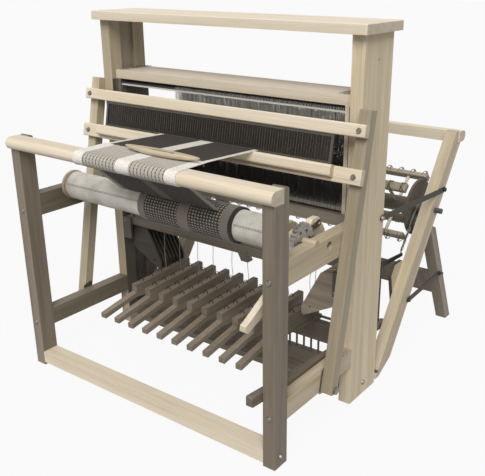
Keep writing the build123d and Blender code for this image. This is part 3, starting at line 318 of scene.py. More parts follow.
def wool(name, stops, dotted, weft, span=(CLOTH_LEFT, CLOTH_RIGHT), under=None, ribs=None):
    """Handwoven wool and cotton web: white and dark warp stripes under a white or dark weft.

    The web's own map runs across the width in u and along the warp in v, both in metres.
    weft holds the pitch a across, the pitch b along, the threshold and the colour of what shows in the marked
    stripes: ticks of weft on a grid, |sin(pi u / a)| times |sin(pi v / b)|, or where ribs gives a start and an
    end in v, the dark grooves between ribs, 1 - |sin(pi u / a)| less a share of |sin(pi v / b)|. Past under's
    first value in v the web is painted in the darker stripes of the second, as painted shade under the beam.
    """
    pitch_across, pitch_along, threshold, shown_code = weft
    material, tree, shader = new_material(name)
    flat = add(tree, "ShaderNodeUVMap", {"uv_map": "flat"}).outputs["UV"]
    parts = add(tree, "ShaderNodeSeparateXYZ", None, Vector=flat).outputs
    across = add(tree, "ShaderNodeMapRange", None, Value=parts["X"], From_Min=span[0],
                 From_Max=span[1]).outputs["Result"]
    stripe = ramp(tree, across, stops, "CONSTANT")
    marks = [(start, "#FFFFFF" if marked else "#000000") for (start, _), marked in zip(stops, dotted)]
    marked_stripes = ramp(tree, across, marks, "CONSTANT")
    sides = (("Y", pitch_along), ("X", pitch_across))
    row, column = [math_node(tree, "ABSOLUTE", math_node(tree, "SINE", math_node(
        tree, "MULTIPLY", parts[side], math.pi / pitch))) for side, pitch in sides]
    fuzz = add(tree, "ShaderNodeTexNoise", None, Vector=place(tree, (0.0025, 0.0025, 0.0025)), Scale=1.0,
               Detail=3.0).outputs["Fac"]
    if ribs:
        groove = math_node(tree, "MULTIPLY_ADD", row, -0.28, math_node(tree, "SUBTRACT", 1.0, column))
        grown = add(tree, "ShaderNodeMapRange", None, Value=parts["Y"], From_Min=ribs[0], From_Max=ribs[1],
                    To_Min=-0.42, To_Max=0.0).outputs[0]
        pattern = math_node(tree, "ADD", groove, grown)
    else:
        pattern = math_node(tree, "MULTIPLY", row, column)
    light = math_node(tree, "MULTIPLY_ADD", math_node(tree, "SUBTRACT", fuzz, 0.5), 0.9, pattern)
    speck = add(tree, "ShaderNodeMapRange", None, Value=light, From_Min=threshold,
                From_Max=threshold + 0.25).outputs[0]
    colour = painted(tree, stripe, math_node(tree, "MULTIPLY", speck, marked_stripes), shown_code)
    yarn = add(tree, "ShaderNodeMix", {"data_type": "RGBA", "blend_type": "MULTIPLY"}, Factor=0.55, i6=colour,
               i7=ramp(tree, fuzz, ((0.3, "#9A958C"), (0.6, "#FFFFFF")))).outputs[2]
    # Painted shade: past under's first value in v the web takes the darker stripes of its second value
    if under:
        past = math_node(tree, "GREATER_THAN", parts["Y"], under[0])
        yarn = add(tree, "ShaderNodeMix", {"data_type": "RGBA"}, Factor=past, i6=yarn,
                   i7=ramp(tree, across, under[1], "CONSTANT")).outputs[2]
    tree.links.new(yarn, shader.inputs["Base Color"])
    shader.inputs["Roughness"].default_value = 0.95
    shader.inputs["Sheen Weight"].default_value = 0.15
    bump(tree, shader, light, 0.0004)
    return material


def plain(name, code, other, size, roughness):
    """Spun yarn, cord or painted wire: one colour broken by its twist."""
    material, tree, shader = new_material(name)
    twist = add(tree, "ShaderNodeTexNoise", None, Vector=place(tree, size), Scale=1.0,
                Detail=2.0).outputs["Fac"]
    tree.links.new(ramp(tree, twist, ((0.35, code), (0.65, other))), shader.inputs["Base Color"])
    shader.inputs["Roughness"].default_value = roughness
    bump(tree, shader, twist, 0.0001)
    return material


def quads(rows, columns, close_rows=False, close_columns=False):
    """Four-sided faces between neighbouring rows and columns of a grid of points."""
    r = np.arange(rows if close_rows else rows - 1)[:, None]
    c = np.arange(columns if close_columns else columns - 1)[None, :]
    nr, nc = (r + 1) % rows, (c + 1) % columns
    return np.stack([r * columns + c, r * columns + nc, nr * columns + nc, nr * columns + c], -1).reshape(-1, 4)


def mesh_of(name, points, faces, flat=None, smooth=True):
    """A mesh from an array of points and an array of four-sided faces, with its own flat map on request."""
    mesh = bpy.data.meshes.new(name)
    mesh.vertices.add(len(points))
    mesh.vertices.foreach_set("co", np.asarray(points, dtype=np.float32).ravel())
    mesh.loops.add(faces.size)
    mesh.loops.foreach_set("vertex_index", faces.astype(np.int32).ravel())
    mesh.polygons.add(len(faces))
    mesh.polygons.foreach_set("loop_start", np.arange(0, faces.size, 4, dtype=np.int32))
    mesh.polygons.foreach_set("use_smooth", np.full(len(faces), smooth))
    if flat is not None:
        layer = mesh.uv_layers.new(name="flat")
        layer.data.foreach_set("uv", np.asarray(flat, dtype=np.float32)[faces.ravel()].ravel())
    mesh.update(calc_edges=True)
    mesh.validate()
    return mesh


def piece(name, mesh, material, body, stands_for=()):
    """A new piece in the scene on its CAD body."""
    made = bpy.data.objects.new(name, mesh)
    bpy.context.collection.objects.link(made)
    mesh.materials.append(material)
    if body:
        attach(made, body)
    if stands_for:
        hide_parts(*stands_for)
    return made


# Four-sided faces that close a ring of four or of six points
CAPS = {4: np.array([(0, 1, 2, 3)]), 6: np.array([(0, 1, 2, 3), (0, 3, 4, 5)])}


def wires(paths, radius, sides=4, up=(0.0, 1.0, 0.0), flatten=1.0):
    """Closed round wires: a circle of a radius carried along each path, square to it.

    paths has the shape (wires, points, 3). The circle's axes are the cross products of the
    path's direction with a fixed direction, and flatten narrows the second of them.
    """
    paths = np.asarray(paths, dtype=float)
    count, stations, _ = paths.shape
    along = np.gradient(paths, axis=1)
    along /= np.linalg.norm(along, axis=2, keepdims=True) + 1e-12
    first = np.cross(along, np.asarray(up))
    first /= np.linalg.norm(first, axis=2, keepdims=True) + 1e-12
    second = np.cross(along, first)
    turn = 2 * np.pi * (np.arange(sides) + 0.5) / sides
    ring = np.cos(turn)[:, None] * first[:, :, None, :] + flatten * np.sin(turn)[:, None] * second[:, :, None, :]
    points = (paths[:, :, None, :] + radius * ring).reshape(-1, 3)
    cap = CAPS[sides]
    one = np.vstack([quads(stations, sides, close_columns=True), cap[:, ::-1], cap + (stations - 1) * sides])
    faces = (one[None] + (np.arange(count) * stations * sides)[:, None, None]).reshape(-1, 4)
    return points, faces


def join(*parts):
    """Several (points, faces) arrays as one."""
    points, faces, base = [], [], 0
    for p, f in parts:
        points.append(p)
        faces.append(f + base)
        base += len(p)
    return np.vstack(points), np.vstack(faces)


def arc(centre, radius, start, stop, count):
    """Points of the side view on a circle: (depth, height) = centre + radius (cos, sin)."""
    turn = np.linspace(start, stop, count)
    return np.stack([centre[0] + radius * np.cos(turn), centre[1] + radius * np.sin(turn)], -1)


def web(x, line, lift, thickness):
    """A closed sheet: a line of the side view carried across the width, raised off itself by lift(x, s).

    The line runs forward over the beam, so its outward normal is its direction turned clockwise by a right
    angle, as seen from the loom's right; s is the length along it.
    """
    step = np.gradient(line, axis=0)
    step /= np.linalg.norm(step, axis=1, keepdims=True)
    normal = np.stack([step[:, 1], -step[:, 0]], -1)
    s = np.concatenate([[0], np.cumsum(np.linalg.norm(np.diff(line, axis=0), axis=1))])
    xx, ss = np.meshgrid(x, s)
    raised = thickness + lift(xx, ss)
    top = np.stack([xx, line[:, :1] + normal[:, :1] * raised, line[:, 1:] + normal[:, 1:] * raised], -1)
    low = np.stack([xx, np.repeat(line[:, :1], len(x), 1), np.repeat(line[:, 1:], len(x), 1)], -1)
    rows, columns = top.shape[:2]
    grid = quads(rows, columns)
    size = rows * columns
    index = np.arange(size).reshape(rows, columns)
    edges = [index[0], index[:, -1], index[-1, ::-1], index[::-1, 0]]
    rim = np.concatenate([np.stack([e[:-1], e[1:], e[1:] + size, e[:-1] + size], -1) for e in edges])
    faces = np.vstack([grid[:, ::-1], grid + size, rim])
    points = np.vstack([top.reshape(-1, 3), low.reshape(-1, 3)])
    flat = np.tile(np.stack([xx, ss], -1).reshape(-1, 2), (2, 1))
    return points, faces, flat


def smooth_step(value, low, high):
    """0 below low, 1 above high and 3 t^2 - 2 t^3 between them."""
    t = np.clip((value - low) / (high - low), 0, 1)
    return t * t * (3 - 2 * t)


# Light, middle and dark tone of the palest boards
PALE = ("#E6DAC6", "#D8C9B0", "#BFAD90")


class LoomTimber(bpy.types.PropertyGroup):
    """Colours of the timber"""
    pale: FloatVectorProperty(name="Pale timber", description="Lightest tone of the palest boards",
                              subtype="COLOR", size=3, default=linear(PALE[0])[:3])


class LoomWeaving(bpy.types.PropertyGroup):
    """Sizes of the warp and its wires"""
    heddles: IntProperty(name="Heddles", description="Wire heddles on each harness", default=120, min=8)
    wire: FloatProperty(name="Heddle wire", description="Thickness of a heddle's wire", default=0.0009,
                        unit="LENGTH")
    warp: IntProperty(name="Warp ends", description="Warp threads over the whole width", default=208, min=16)
    yarn: FloatProperty(name="Yarn", description="Thickness of a warp thread", default=0.0014, unit="LENGTH")


# Tones of the other boards in the same way, and for each finish its grain, tones, tilt and CAD nodes
MIDDLE = ("#C9BBA4", "#B5A68B", "#978970")
# SHADE and DEEP are darker copies of the same maple: painted shade for the jacks, lamms, treadles, brake pedal
# and base boards inside the loom, and a darker board tone for the legs
SHADE = ("#94887A", "#807463", "#665B4B")
DEEP = ("#857A6C", "#70665A", "#574E43")
SLAT = ("#B5A893", "#A0937D", "#85795F")
HARNESS = ("#DACFBD", "#CBBDA7", "#B0A189")
TIMBER = {
    "maple_across_pale": ("X", PALE, 0.0, ("breast_beam", "front_stretcher", "castle_shelf", "beater_top_bar",
                                         "beater_lower_bar", "back_beam")),
    "maple_upright_shade": ("Z", SHADE, 0.0, ("front_legs",)),
    "maple_deep_across": ("X", DEEP, 0.0, ("base_boards",)),
    "maple_jacks": ("X", DEEP, 0.0, ("jacks",)),
    "maple_castle": ("Z", MIDDLE, 0.0, ("castle_sides",)),
    "maple_rails": ("Y", MIDDLE, 0.0, ("side_rails",)),
    "maple_lever": ("Y", PALE, 0.0, ("advance_lever",)),
    "maple_deep_back": ("Y", DEEP, 0.0, ("brake_pedal",)),
    "maple_across_middle": ("X", MIDDLE, 0.0, ("cloth_beam",)),
    "maple_slats": ("X", SLAT, 0.0, ("warp_beam",)),
    "maple_arms": ("Z", MIDDLE, -BEATER_TILT, ("beater_arms",)),
    "maple_posts": ("Z", MIDDLE, -POST_TILT, ("back_posts",)),
    "maple_rear_legs": ("Z", SHADE, REAR_LEG_TILT, ("rear_legs",)),
}
# Left and right gain of the tones of a pair of boards: painted light and shade, for the light and shade that
# fall differently on the two sides
SIDE_LIGHT_GAINS = {"maple_castle": (0.86, 1.33), "maple_rails": (0.38, 0.98), "maple_jacks": (0.32, 2.2),
         "maple_arms": (1.0, 0.64), "maple_upright_shade": (0.92, 0.82)}
ZONES = {"maple_castle": castle_zones, "maple_slats": warp_beam_zones, "maple_posts": post_zones}


class LOOM_OT_timber(bpy.types.Operator):
    """Give every CAD node the finish of its real piece"""
    bl_idname = "loom.timber"
    bl_label = "Finish timber and steel"

    def execute(self, context):
        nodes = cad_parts
        pale = (*context.scene.loom_timber.pale, 1.0)

        def dress(names, material):
            for name in names:
                nodes[name].data.materials.clear()
                nodes[name].data.materials.append(material)

        for name, (grain, tones, tilt, names) in TIMBER.items():
            tones = (pale, *PALE[1:]) if tones is PALE else tones
            dress(names, maple(name, grain, tones, tilt, SIDE_LIGHT_GAINS.get(name), ZONES.get(name)))
        shafts = range(1, HARNESSES + 1)
        dress([f"harness_{i}" for i in shafts], maple("maple_harness", "X", HARNESS, zones=harness_zones))
        dress([f"lamm_{i}" for i in shafts], maple("maple_lamm", "X", DEEP))
        dress([f"treadle_{i}" for i in range(1, TREADLES + 1)], maple("maple_treadle", "Y", SHADE))
        dress(("frame_hardware", "beater_hardware", "brake_band", "pivot_rods"),
              steel("zinc_plated_steel", "#8C8B88", 0.35))
        dress(("cloth_ratchet",), steel("cast_ratchet", "#B4B2AE", 0.45, "#7C7770"))
        dress(("advance_pawl", "holding_pawl"), steel("pawl_steel", "#4B4947", 0.4))
        dress(("lower_straps", "upper_straps", "brake_lever"),
              steel("blackened_steel", "#454340", 0.5, "#575049"))
        dress(("reed",), steel("reed_steel", "#5A5855", 0.4))
        return {"FINISHED"}


class LOOM_OT_heddles(bpy.types.Operator):
    """Hang the wire heddles on their bars and fill the reed"""
    bl_idname = "loom.heddles"
    bl_label = "Hang heddles"

    def execute(self, context):
        sizes = context.scene.loom_weaving
        # Tinned wire: painted dark as shade up to the top loops, and painted light on the top loops, where light
        # falls on them
        material, tree, shader = new_material("tinned_heddle_wire")
        high = add(tree, "ShaderNodeMapRange", None, Value=spot(tree)[2], From_Min=0.93,
                   From_Max=0.955).outputs["Result"]
        tree.links.new(ramp(tree, high, ((0.0, "#3A3836"), (1.0, "#BDBAB3"))), shader.inputs["Base Color"])
        shader.inputs["Metallic"].default_value = 0.4
        shader.inputs["Roughness"].default_value = 0.6
        chance = np.random.default_rng(7)
        shake, right, left, left_step = 0.0022, 0.468, -0.212, -0.0105
        # Each heddle is two wires from loop to loop: height, half the gap between them, and set to the side
        end, loop, shank, eye = 0.0003, 0.0026, 0.0004, 0.0022
        heights = np.array([HEDDLE_BAR_LOW - 0.009, HEDDLE_BAR_LOW - 0.0075, HEDDLE_BAR_LOW + 0.012,
                            EYE_HEIGHT - 0.014, EYE_HEIGHT - 0.005, EYE_HEIGHT + 0.005, EYE_HEIGHT + 0.014,
                            HEDDLE_BAR_HIGH - 0.012, HEDDLE_BAR_HIGH + 0.0075, HEDDLE_BAR_HIGH + 0.009])
        spread = np.array([end, end, shank, shank, eye, eye, shank, shank, end, end])
        depth = np.array([0.0, -loop, -loop, 0.0, 0.0, 0.0, 0.0, -loop, -loop, 0.0])
        for index in range(HARNESSES):
            y = FRONT + HARNESS_FIRST + index * HARNESS_PITCH
            x = np.linspace(left + left_step * index, right, sizes.heddles)
            x = x + chance.uniform(-shake, shake, sizes.heddles)
            paths = []
            for side in (-1, 1):
                across = x[:, None] + side * spread[None, :]
                back = y - side * depth[None, :] + np.zeros_like(across)
                paths.append(np.stack([across, back, heights[None, :] + np.zeros_like(across)], -1))
            points, faces = wires(np.concatenate(paths), sizes.wire / 2)
            piece(f"heddles_{index + 1}", mesh_of(f"heddles_{index + 1}", points, faces), material,
                  f"harness_{index + 1}_body")
        # The reed's dents are flat wires between its spines: places along and across the beater's arms
        low, high, off, half, count = 0.6945, 0.7780, -0.0306, 0.474, 340
        dent, thin = 0.0021, 0.22
        x = np.linspace(-half, half, count)
        across = np.array([math.cos(BEATER_TILT), -math.sin(BEATER_TILT)])
        along = np.array([math.sin(BEATER_TILT), math.cos(BEATER_TILT)])
        ends = [np.array(BEATER_PIVOT) + off * across + h * along for h in (low, (low + high) / 2, high)]
        paths = np.stack([np.stack([x, np.full(count, e[0]), np.full(count, e[1])], -1) for e in ends], 1)
        points, faces = wires(paths, dent, up=(1.0, 0.0, 0.0), flatten=thin)
        piece("reed_dents", mesh_of("reed_dents", points, faces, smooth=False),
              steel("reed_wire", "#54514D", 0.4), "beater")
        return {"FINISHED"}


def warp_line(y):
    """Height of the warp at a depth: straight from the fell over the race to the back beam's top."""
    start, first = FRONT + 0.118, CLOTH_BASE + 0.0012
    stop, last = BACK_NOSE[0], BACK_NOSE[1] + BACK_NOSE_RADIUS
    return first + (last - first) * (y - start) / (stop - start)


class LOOM_OT_warp(bpy.types.Operator):
    """Lay the warp from the fell through reed and heddles to the sectional beam"""
    bl_idname = "loom.warp"
    bl_label = "Lay the warp"

    def execute(self, context):
        sizes = context.scene.loom_weaving
        pale = plain("cotton_warp_white", "#EDE9DF", "#CFC9BC", (0.001, 0.003, 0.001), 0.85)
        dark = plain("wool_warp_dark", "#4A433C", "#2E2A26", (0.001, 0.003, 0.001), 0.9)
        margin, edge, middle_half = 0.002, 0.045, 0.06
        x = np.linspace(CLOTH_LEFT + margin, CLOTH_RIGHT - margin, sizes.warp)
        part = (x - CLOTH_LEFT) / (CLOTH_RIGHT - CLOTH_LEFT)
        white = (part < edge) | (part > 1 - edge) | (np.abs(part - 0.5) < middle_half)
        harness = np.arange(sizes.warp) % HARNESSES

        def lay(name, select, y, height, bodies):
            paths = np.stack([np.stack([np.full(len(y), a), y, height], -1) for a in x[select]])
            points, faces = wires(paths, sizes.yarn / 2)
            material = pale if name.startswith("warp_white") else dark
            made = piece(name, mesh_of(name, points, faces), material,
                         bodies[0] if len(bodies) == 1 else None)
            if len(bodies) == 2:
                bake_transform(made)
            return made

        for shade, mask in (("white", white), ("dark", ~white)):
            for index in range(HARNESSES):
                select = mask & (harness == index)
                eye = FRONT + HARNESS_FIRST + index * HARNESS_PITCH
                shaft = f"harness_{index + 1}_body"
                for stretch, y, bodies in (("front", np.linspace(FRONT + FELL, eye, 14), ("frame", shaft)),
                                           ("back", np.linspace(eye, FRONT + WARP_FREE, 10), (shaft, "frame"))):
                    lay(f"warp_{shade}_{index + 1}_{stretch}", select, y, warp_line(y), bodies)
            y = np.linspace(FRONT + WARP_FREE, BACK_NOSE[0], 10)
            lay(f"warp_{shade}_long", mask, y, warp_line(y), ("frame", "back_frame"))
            # From the beam's nose the warp falls to the back slats of the sectional beam
            nose = arc(BACK_NOSE, BACK_NOSE_RADIUS, math.pi / 2, math.radians(-17.5), 9)
            low = np.array([WARP_AXIS[0] + 0.149, WARP_AXIS[1] - 0.020])
            line = np.vstack([nose, nose[-1] + (low - nose[-1]) * np.array([[0.35], [0.7], [1.0]])])
            lay(f"warp_{shade}_fall", mask, line[:, 0], line[:, 1], ("back_frame",))
        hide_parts("warp_threads")
        return {"FINISHED"}


class LOOM_OT_cloth(bpy.types.Operator):
    """Draw the woven web over the breast beam and down to the roll"""
    bl_idname = "loom.cloth"
    bl_label = "Draw the woven web"

    def execute(self, context):
        gap, thickness, start, leave = 0.0004, 0.0012, 0.120, 0.034
        roll_radius, meets = 0.0575, math.radians(38)
        radius = NOSE_RADIUS + gap
        flat_part = np.stack([np.linspace(FRONT + start, NOSE[0], 40, endpoint=False),
                              np.full(40, NOSE[1] + radius)], -1)
        round_part = arc(NOSE, radius, math.pi / 2, 3 * math.pi / 2, 34)
        under = np.stack([np.linspace(NOSE[0], FRONT + leave, 10)[1:], np.full(9, NOSE[1] - radius)], -1)
        roll_top = (BEAM_AXIS[0] - roll_radius * math.sin(meets), BEAM_AXIS[1] + roll_radius * math.cos(meets))
        fall = np.linspace(under[-1], roll_top, 22)[1:]
        line = np.vstack([flat_part, round_part, under, fall])
        x = np.linspace(CLOTH_LEFT, CLOTH_RIGHT, 300)
        rib_pitch = 0.0145

        def ribbed(share):
            """1 in the two ribbed bands of the width, 0 in the white ones."""
            return (smooth_step(share, 0.09, 0.11) * (1 - smooth_step(share, 0.43, 0.45))
                    + smooth_step(share, 0.56, 0.58) * (1 - smooth_step(share, 0.89, 0.91)))

        def lift(xx, ss):
            """Thick ribs that grow towards the nose, fine weft ridges across them, and raised edges.

            Ribs: |sin(pi x / pitch)|. Ridges: 1 + sin(2 pi s / 5 mm), half a turn on from rib to rib.
            """
            part = (xx - CLOTH_LEFT) / (CLOTH_RIGHT - CLOTH_LEFT)
            grown = smooth_step(ss, 0.05, 0.125)
            ribs = 0.0016 * np.abs(np.sin(np.pi * xx / rib_pitch)) * (0.25 + 0.75 * ribbed(part)) * grown
            ridges = 0.0004 * (1 + np.sin(2 * np.pi * ss / 0.005 + np.pi * np.floor(xx / rib_pitch)))
            edge = 0.0008 * np.exp(-((part * (1 - part)) / 0.02) ** 2)
            return ribs + ridges + edge

        points, faces, flat = web(x, line, lift, thickness)
        stops = [(0.0, "#F2EEE6"), (0.10, "#BDB6AA"), (0.44, "#F2EEE6"), (0.57, "#BDB6AA"), (0.90, "#F2EEE6")]
        below = 0.1285 + math.pi * radius * 0.86
        # Painted shade: where the web passes under the nose and falls to the roll it takes darker copies of its
        # stripes
        painted_shade_stripes = ((0.0, "#A8A196"), (0.05, "#38322C"), (0.45, "#5E564C"), (0.55, "#38322C"),
                     (0.95, "#A8A196"))
        material = wool("handwoven_web", stops, (0, 1, 0, 1, 0), (rib_pitch, 0.0095, 0.42, "#3A342E"),
                        under=(below, painted_shade_stripes), ribs=(0.085, 0.125))
        made = piece("cloth_web", mesh_of("cloth_web", points, faces, flat), material, "frame",
                     ("woven_cloth",))
        return {"FINISHED"}


class LOOM_OT_roll(bpy.types.Operator):
    """Wind the apron and the woven web on the cloth beam"""
    bl_idname = "loom.roll"
    bl_label = "Wind the cloth beam"

    def execute(self, context):
        seam = math.radians(160)
        tick_pitch = 0.0118

        def shell(name, left, right, radius, thickness, lift, columns, rows, material, stands_for=()):
            """A closed tube wall about the beam: radius + lift(x, turn), the map running round the beam."""
            x = np.linspace(left, right, columns)
            turn = np.linspace(0, 2 * np.pi, rows, endpoint=False)
            xx, tt = np.meshgrid(x, turn)
            outer = radius + lift(xx, tt)
            walls = []
            for r in (outer, np.full_like(outer, radius - thickness)):
                walls.append(np.stack([xx, BEAM_AXIS[0] + r * np.cos(tt), BEAM_AXIS[1] + r * np.sin(tt)], -1))
            size = rows * columns
            grid = quads(rows, columns, close_rows=True)
            ring = np.arange(rows)
            following = (ring + 1) % rows
            ends = [np.stack([ring * columns + c, following * columns + c, following * columns + c + size,
                              ring * columns + c + size], -1) for c in (0, columns - 1)]
            faces = np.vstack([grid[:, ::-1], grid + size, ends[0][:, ::-1], ends[1]])
            points = np.vstack([w.reshape(-1, 3) for w in walls])
            flat = np.tile(np.stack([xx, radius * tt], -1).reshape(-1, 2), (2, 1))
            piece(name, mesh_of(name, points, faces, flat), material, "cloth_roller", stands_for)

        def apron_lift(xx, tt):
            """The free edge of the last turn stands 1 mm off at the seam; slack folds run askew to it."""
            since = np.mod(tt - seam, 2 * np.pi)
            step = 0.0013 * np.exp(-since / 0.9)
            folds = 0.0005 * np.sin(38 * xx + 3 * tt) * np.sin(9 * xx - 2 * tt)
            return step + folds

        def roll_lift(xx, tt):
            """Bumps |sin(pi x / pitch)| times |sin(19 turn)|: 11.8 mm apart across, 9.3 mm round the roll."""
            return (0.0010 * np.abs(np.sin(np.pi * xx / tick_pitch)) * np.abs(np.sin(19 * tt))
                    + 0.0004 * np.sin(5 * tt))

        shell("apron", -0.476, 0.446, radius=0.0492, thickness=0.0008, lift=apron_lift, columns=200, rows=144,
              material=canvas(), stands_for=("cloth_roll",))
        # Painted shade: the wound web's stripes and weft ticks are darker copies of the web's colours, for the
        # roll under the breast beam
        shade = [(0.0, "#857D72"), (0.072, "#3F3933"), (0.44, "#857D72"), (0.555, "#3F3933"), (0.885, "#857D72"),
                 (0.965, "#2F2A25")]
        left, right = -0.114, 0.276
        wound = wool("wound_web", shade, (0, 1, 0, 1, 0, 0), (tick_pitch, 0.0094, 0.55, "#A8A194"),
                     span=(left, right))
        shell("cloth_winding", left, right, radius=0.0565, thickness=0.006, lift=roll_lift, columns=216,
              rows=228, material=wound)
        stitch = 0.011
        starts = np.concatenate([np.arange(-0.470, left - 0.012, stitch),
                                 np.arange(right + 0.006, 0.440, stitch)])
        paths = []
        for turn, reach in ((seam - 0.02, 0.0511), (seam + 0.05, 0.0516)):
            y = BEAM_AXIS[0] + reach * math.cos(turn)
            z = BEAM_AXIS[1] + reach * math.sin(turn)
            steps = starts[:, None] + np.array([0.0, 0.002, 0.006, 0.008])[None, :]
            paths.append(np.stack([steps, np.full_like(steps, y), np.full_like(steps, z)], -1))
        points, faces = wires(np.concatenate(paths), 0.0006)
        piece("apron_stitches", mesh_of("apron_stitches", points, faces),
              plain("waxed_thread", "#5C554B", "#3E3831", (0.002, 0.001, 0.001), 0.8), "cloth_roller")
        return {"FINISHED"}


class LOOM_OT_shuttle(bpy.types.Operator):
    """Shape the boat shuttle and its quill of yarn"""
    bl_idname = "loom.shuttle"
    bl_label = "Shape the shuttle"

    def execute(self, context):
        middle = np.array([0.064, FRONT + 0.091, CLOTH_BASE + 0.0028])
        half_length, half_width, half_height, tip = 0.152, 0.0175, 0.0100, 0.0004
        stations, sides = 97, 48
        u, v = np.meshgrid(np.linspace(-1, 1, stations), np.linspace(0, 2 * np.pi, sides, endpoint=False),
                           indexing="ij")
        # The half width and height are powers of 1 - |u|^2.2, and each section is a rounded square
        body = np.clip(1 - np.abs(u) ** 2.2, 0, 1)
        across = np.sign(np.cos(v)) * np.abs(np.cos(v)) ** 0.7 * (half_width * body ** 0.75 + tip)
        up = np.sign(np.sin(v)) * np.abs(np.sin(v)) ** 0.7 * (half_height * body ** 0.5 + tip)
        # A well for the quill is sunk into the top, and the tips curve up by the third power of u
        well = smooth_step(0.40 - np.abs(u), 0.0, 0.03) * smooth_step(0.0105 - np.abs(across), 0.0, 0.0015)
        up = up - (up > 0) * well * 0.0125
        rise = 0.0045 * np.abs(u) ** 3
        height = middle[2] + half_height + up + rise
        points = np.stack([middle[0] + half_length * u, middle[1] + across, height], -1)
        faces = quads(stations, sides, close_columns=True)
        step = np.arange(sides // 2 - 1)
        ends = [np.stack([base + step, base + step + 1, base + sides - 2 - step,
                          base + sides - 1 - step], -1)[:, ::flip]
                for base, flip in ((0, -1), ((stations - 1) * sides, 1))]
        faces = np.vstack([faces, *ends])
        mesh = mesh_of("boat_shuttle", points.reshape(-1, 3), faces)
        piece("boat_shuttle", mesh, maple("maple_shuttle", "X", MIDDLE), "frame", ("shuttle",))
        # The yarn is a coil of 44 turns that runs three times along the quill
        quill, reel, turns = 0.100, 0.0046, 44
        t = np.linspace(0, 1, 900)
        coil = np.stack([middle[0] - quill / 2 + quill * np.abs((t * 3) % 2 - 1),
                         middle[1] + reel * np.cos(2 * np.pi * turns * t),
                         middle[2] + 0.0115 + reel * np.sin(2 * np.pi * turns * t)], -1)
        points, faces = wires(coil[None], 0.0010)
        piece("quill_yarn", mesh_of("quill_yarn", points, faces),
              plain("wool_weft", "#6B6257", "#4B443C", (0.001, 0.001, 0.001), 0.9), "frame")
        return {"FINISHED"}


def back_top(depth):
    """Height of the treadles' upper boards behind the step, straight from the step to the back."""
    share = (depth - BOARD_ENDS[0]) / (BOARD_ENDS[1] - BOARD_ENDS[0])
    return BOARD_TOPS[0] + (BOARD_TOPS[1] - BOARD_TOPS[0]) * share


class LOOM_OT_treadle_backs(bpy.types.Operator):
    """Lay the upper board on each treadle behind its step, with the wire eyes that the cords hook into"""
    bl_idname = "loom.treadle_backs"
    bl_label = "Lay the treadle boards"

    def execute(self, context):
        wood = maple("maple_treadle_tops", "Y", SHADE)
        wire = steel("eye_wire", "#3A3836", 0.45, "#2C2A28")
        half, flat_half, edge = 0.0118, 0.0100, 0.0016
        eye_depths = (0.33, 0.38, 0.43, 0.48, 0.53)
        eye_wide, eye_askew, eye_tall, eye_sunk = 0.0065, 0.004, 0.013, 0.001
        across = np.array([-half, -half, -flat_half, flat_half, half, half])
        for number in range(1, TREADLES + 1):
            middle = (number - (TREADLES + 1) / 2) * TREADLE_PITCH
            rows = []
            for depth, top, low in zip(BOARD_ENDS, BOARD_TOPS, BOARD_LOWS):
                height = np.array([low, top - edge, top, top, top - edge, low])
                rows.append(np.stack([middle + across, np.full(6, FRONT + depth), height], -1))
            points = np.concatenate(rows)
            caps = CAPS[6]
            faces = np.concatenate([quads(2, 6, close_columns=True), caps[:, ::-1], caps + 6])
            piece(f"treadle_back_{number}", mesh_of(f"treadle_back_{number}", points, faces, smooth=False), wood,
                  f"treadle_{number}_body")
            # Each eye is half an ellipse that stands on the board, a little askew
            turn = np.linspace(0, np.pi, 9)
            eyes = [np.stack([middle + eye_wide * np.cos(turn), FRONT + depth + eye_askew * np.cos(turn),
                              back_top(depth) - eye_sunk + eye_tall * np.sin(turn)], -1) for depth in eye_depths]
            points, faces = wires(np.stack(eyes), 0.0012, 6)
            piece(f"tie_eyes_{number}", mesh_of(f"tie_eyes_{number}", points, faces), wire,
                  f"treadle_{number}_body")
        return {"FINISHED"}


class LOOM_OT_cords(bpy.types.Operator):
    """Tie the treadles to the lamms"""
    bl_idname = "loom.cords"
    bl_label = "Tie the treadles"

    def execute(self, context):
        material = plain("cotton_cord", "#B9B3A6", "#8F897C", (0.001, 0.001, 0.003), 0.85)
        radius, beside, gap, aside, clear = 0.001, -0.0005, 0.0003, 0.004, 0.0005
        ties = (1, 2, 3, 4, 5, 6, 7, 8, 2, 4, 6, 8)
        treadles = (0, 1, 2, 3, 4, 5, 6, 7, 8, 8, 9, 9)
        drops = (0.0, 0.052, 0.104, 0.156)
        sway = (0, 0.002, -0.003, 0.004, 0)
        for number, (tie, tread) in enumerate(zip(ties, treadles), 1):
            depth = HARNESS_FIRST + (tie - 1) * HARNESS_PITCH + beside + gap + radius
            x = (tread - (TREADLES - 1) / 2) * TREADLE_PITCH + (aside if tie % 2 else -aside)
            foot = back_top(depth) + clear
            heights = (*[LAMM_HEIGHT - drop for drop in drops], foot)
            route = [(x + offset, FRONT + depth, height) for offset, height in zip(sway, heights)]
            curve = bpy.data.curves.new(f"tie_cord_{number}", "CURVE")
            curve.dimensions = "3D"
            curve.bevel_depth = radius
            curve.bevel_resolution = 3
            curve.use_fill_caps = True
            spline = curve.splines.new("NURBS")
            spline.points.add(len(route) - 1)
            for point, corner in zip(spline.points, route):
                point.co = (*corner, 1.0)
            spline.order_u = 3
            spline.use_endpoint_u = True
            spline.resolution_u = 8
            curve.materials.append(material)
            made = bpy.data.objects.new(f"tie_cord_{number}", curve)
            bpy.context.collection.objects.link(made)
            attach(made, f"lamm_{tie}_body")
            if number == 1:
                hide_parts("tie_up_cords")
        return {"FINISHED"}


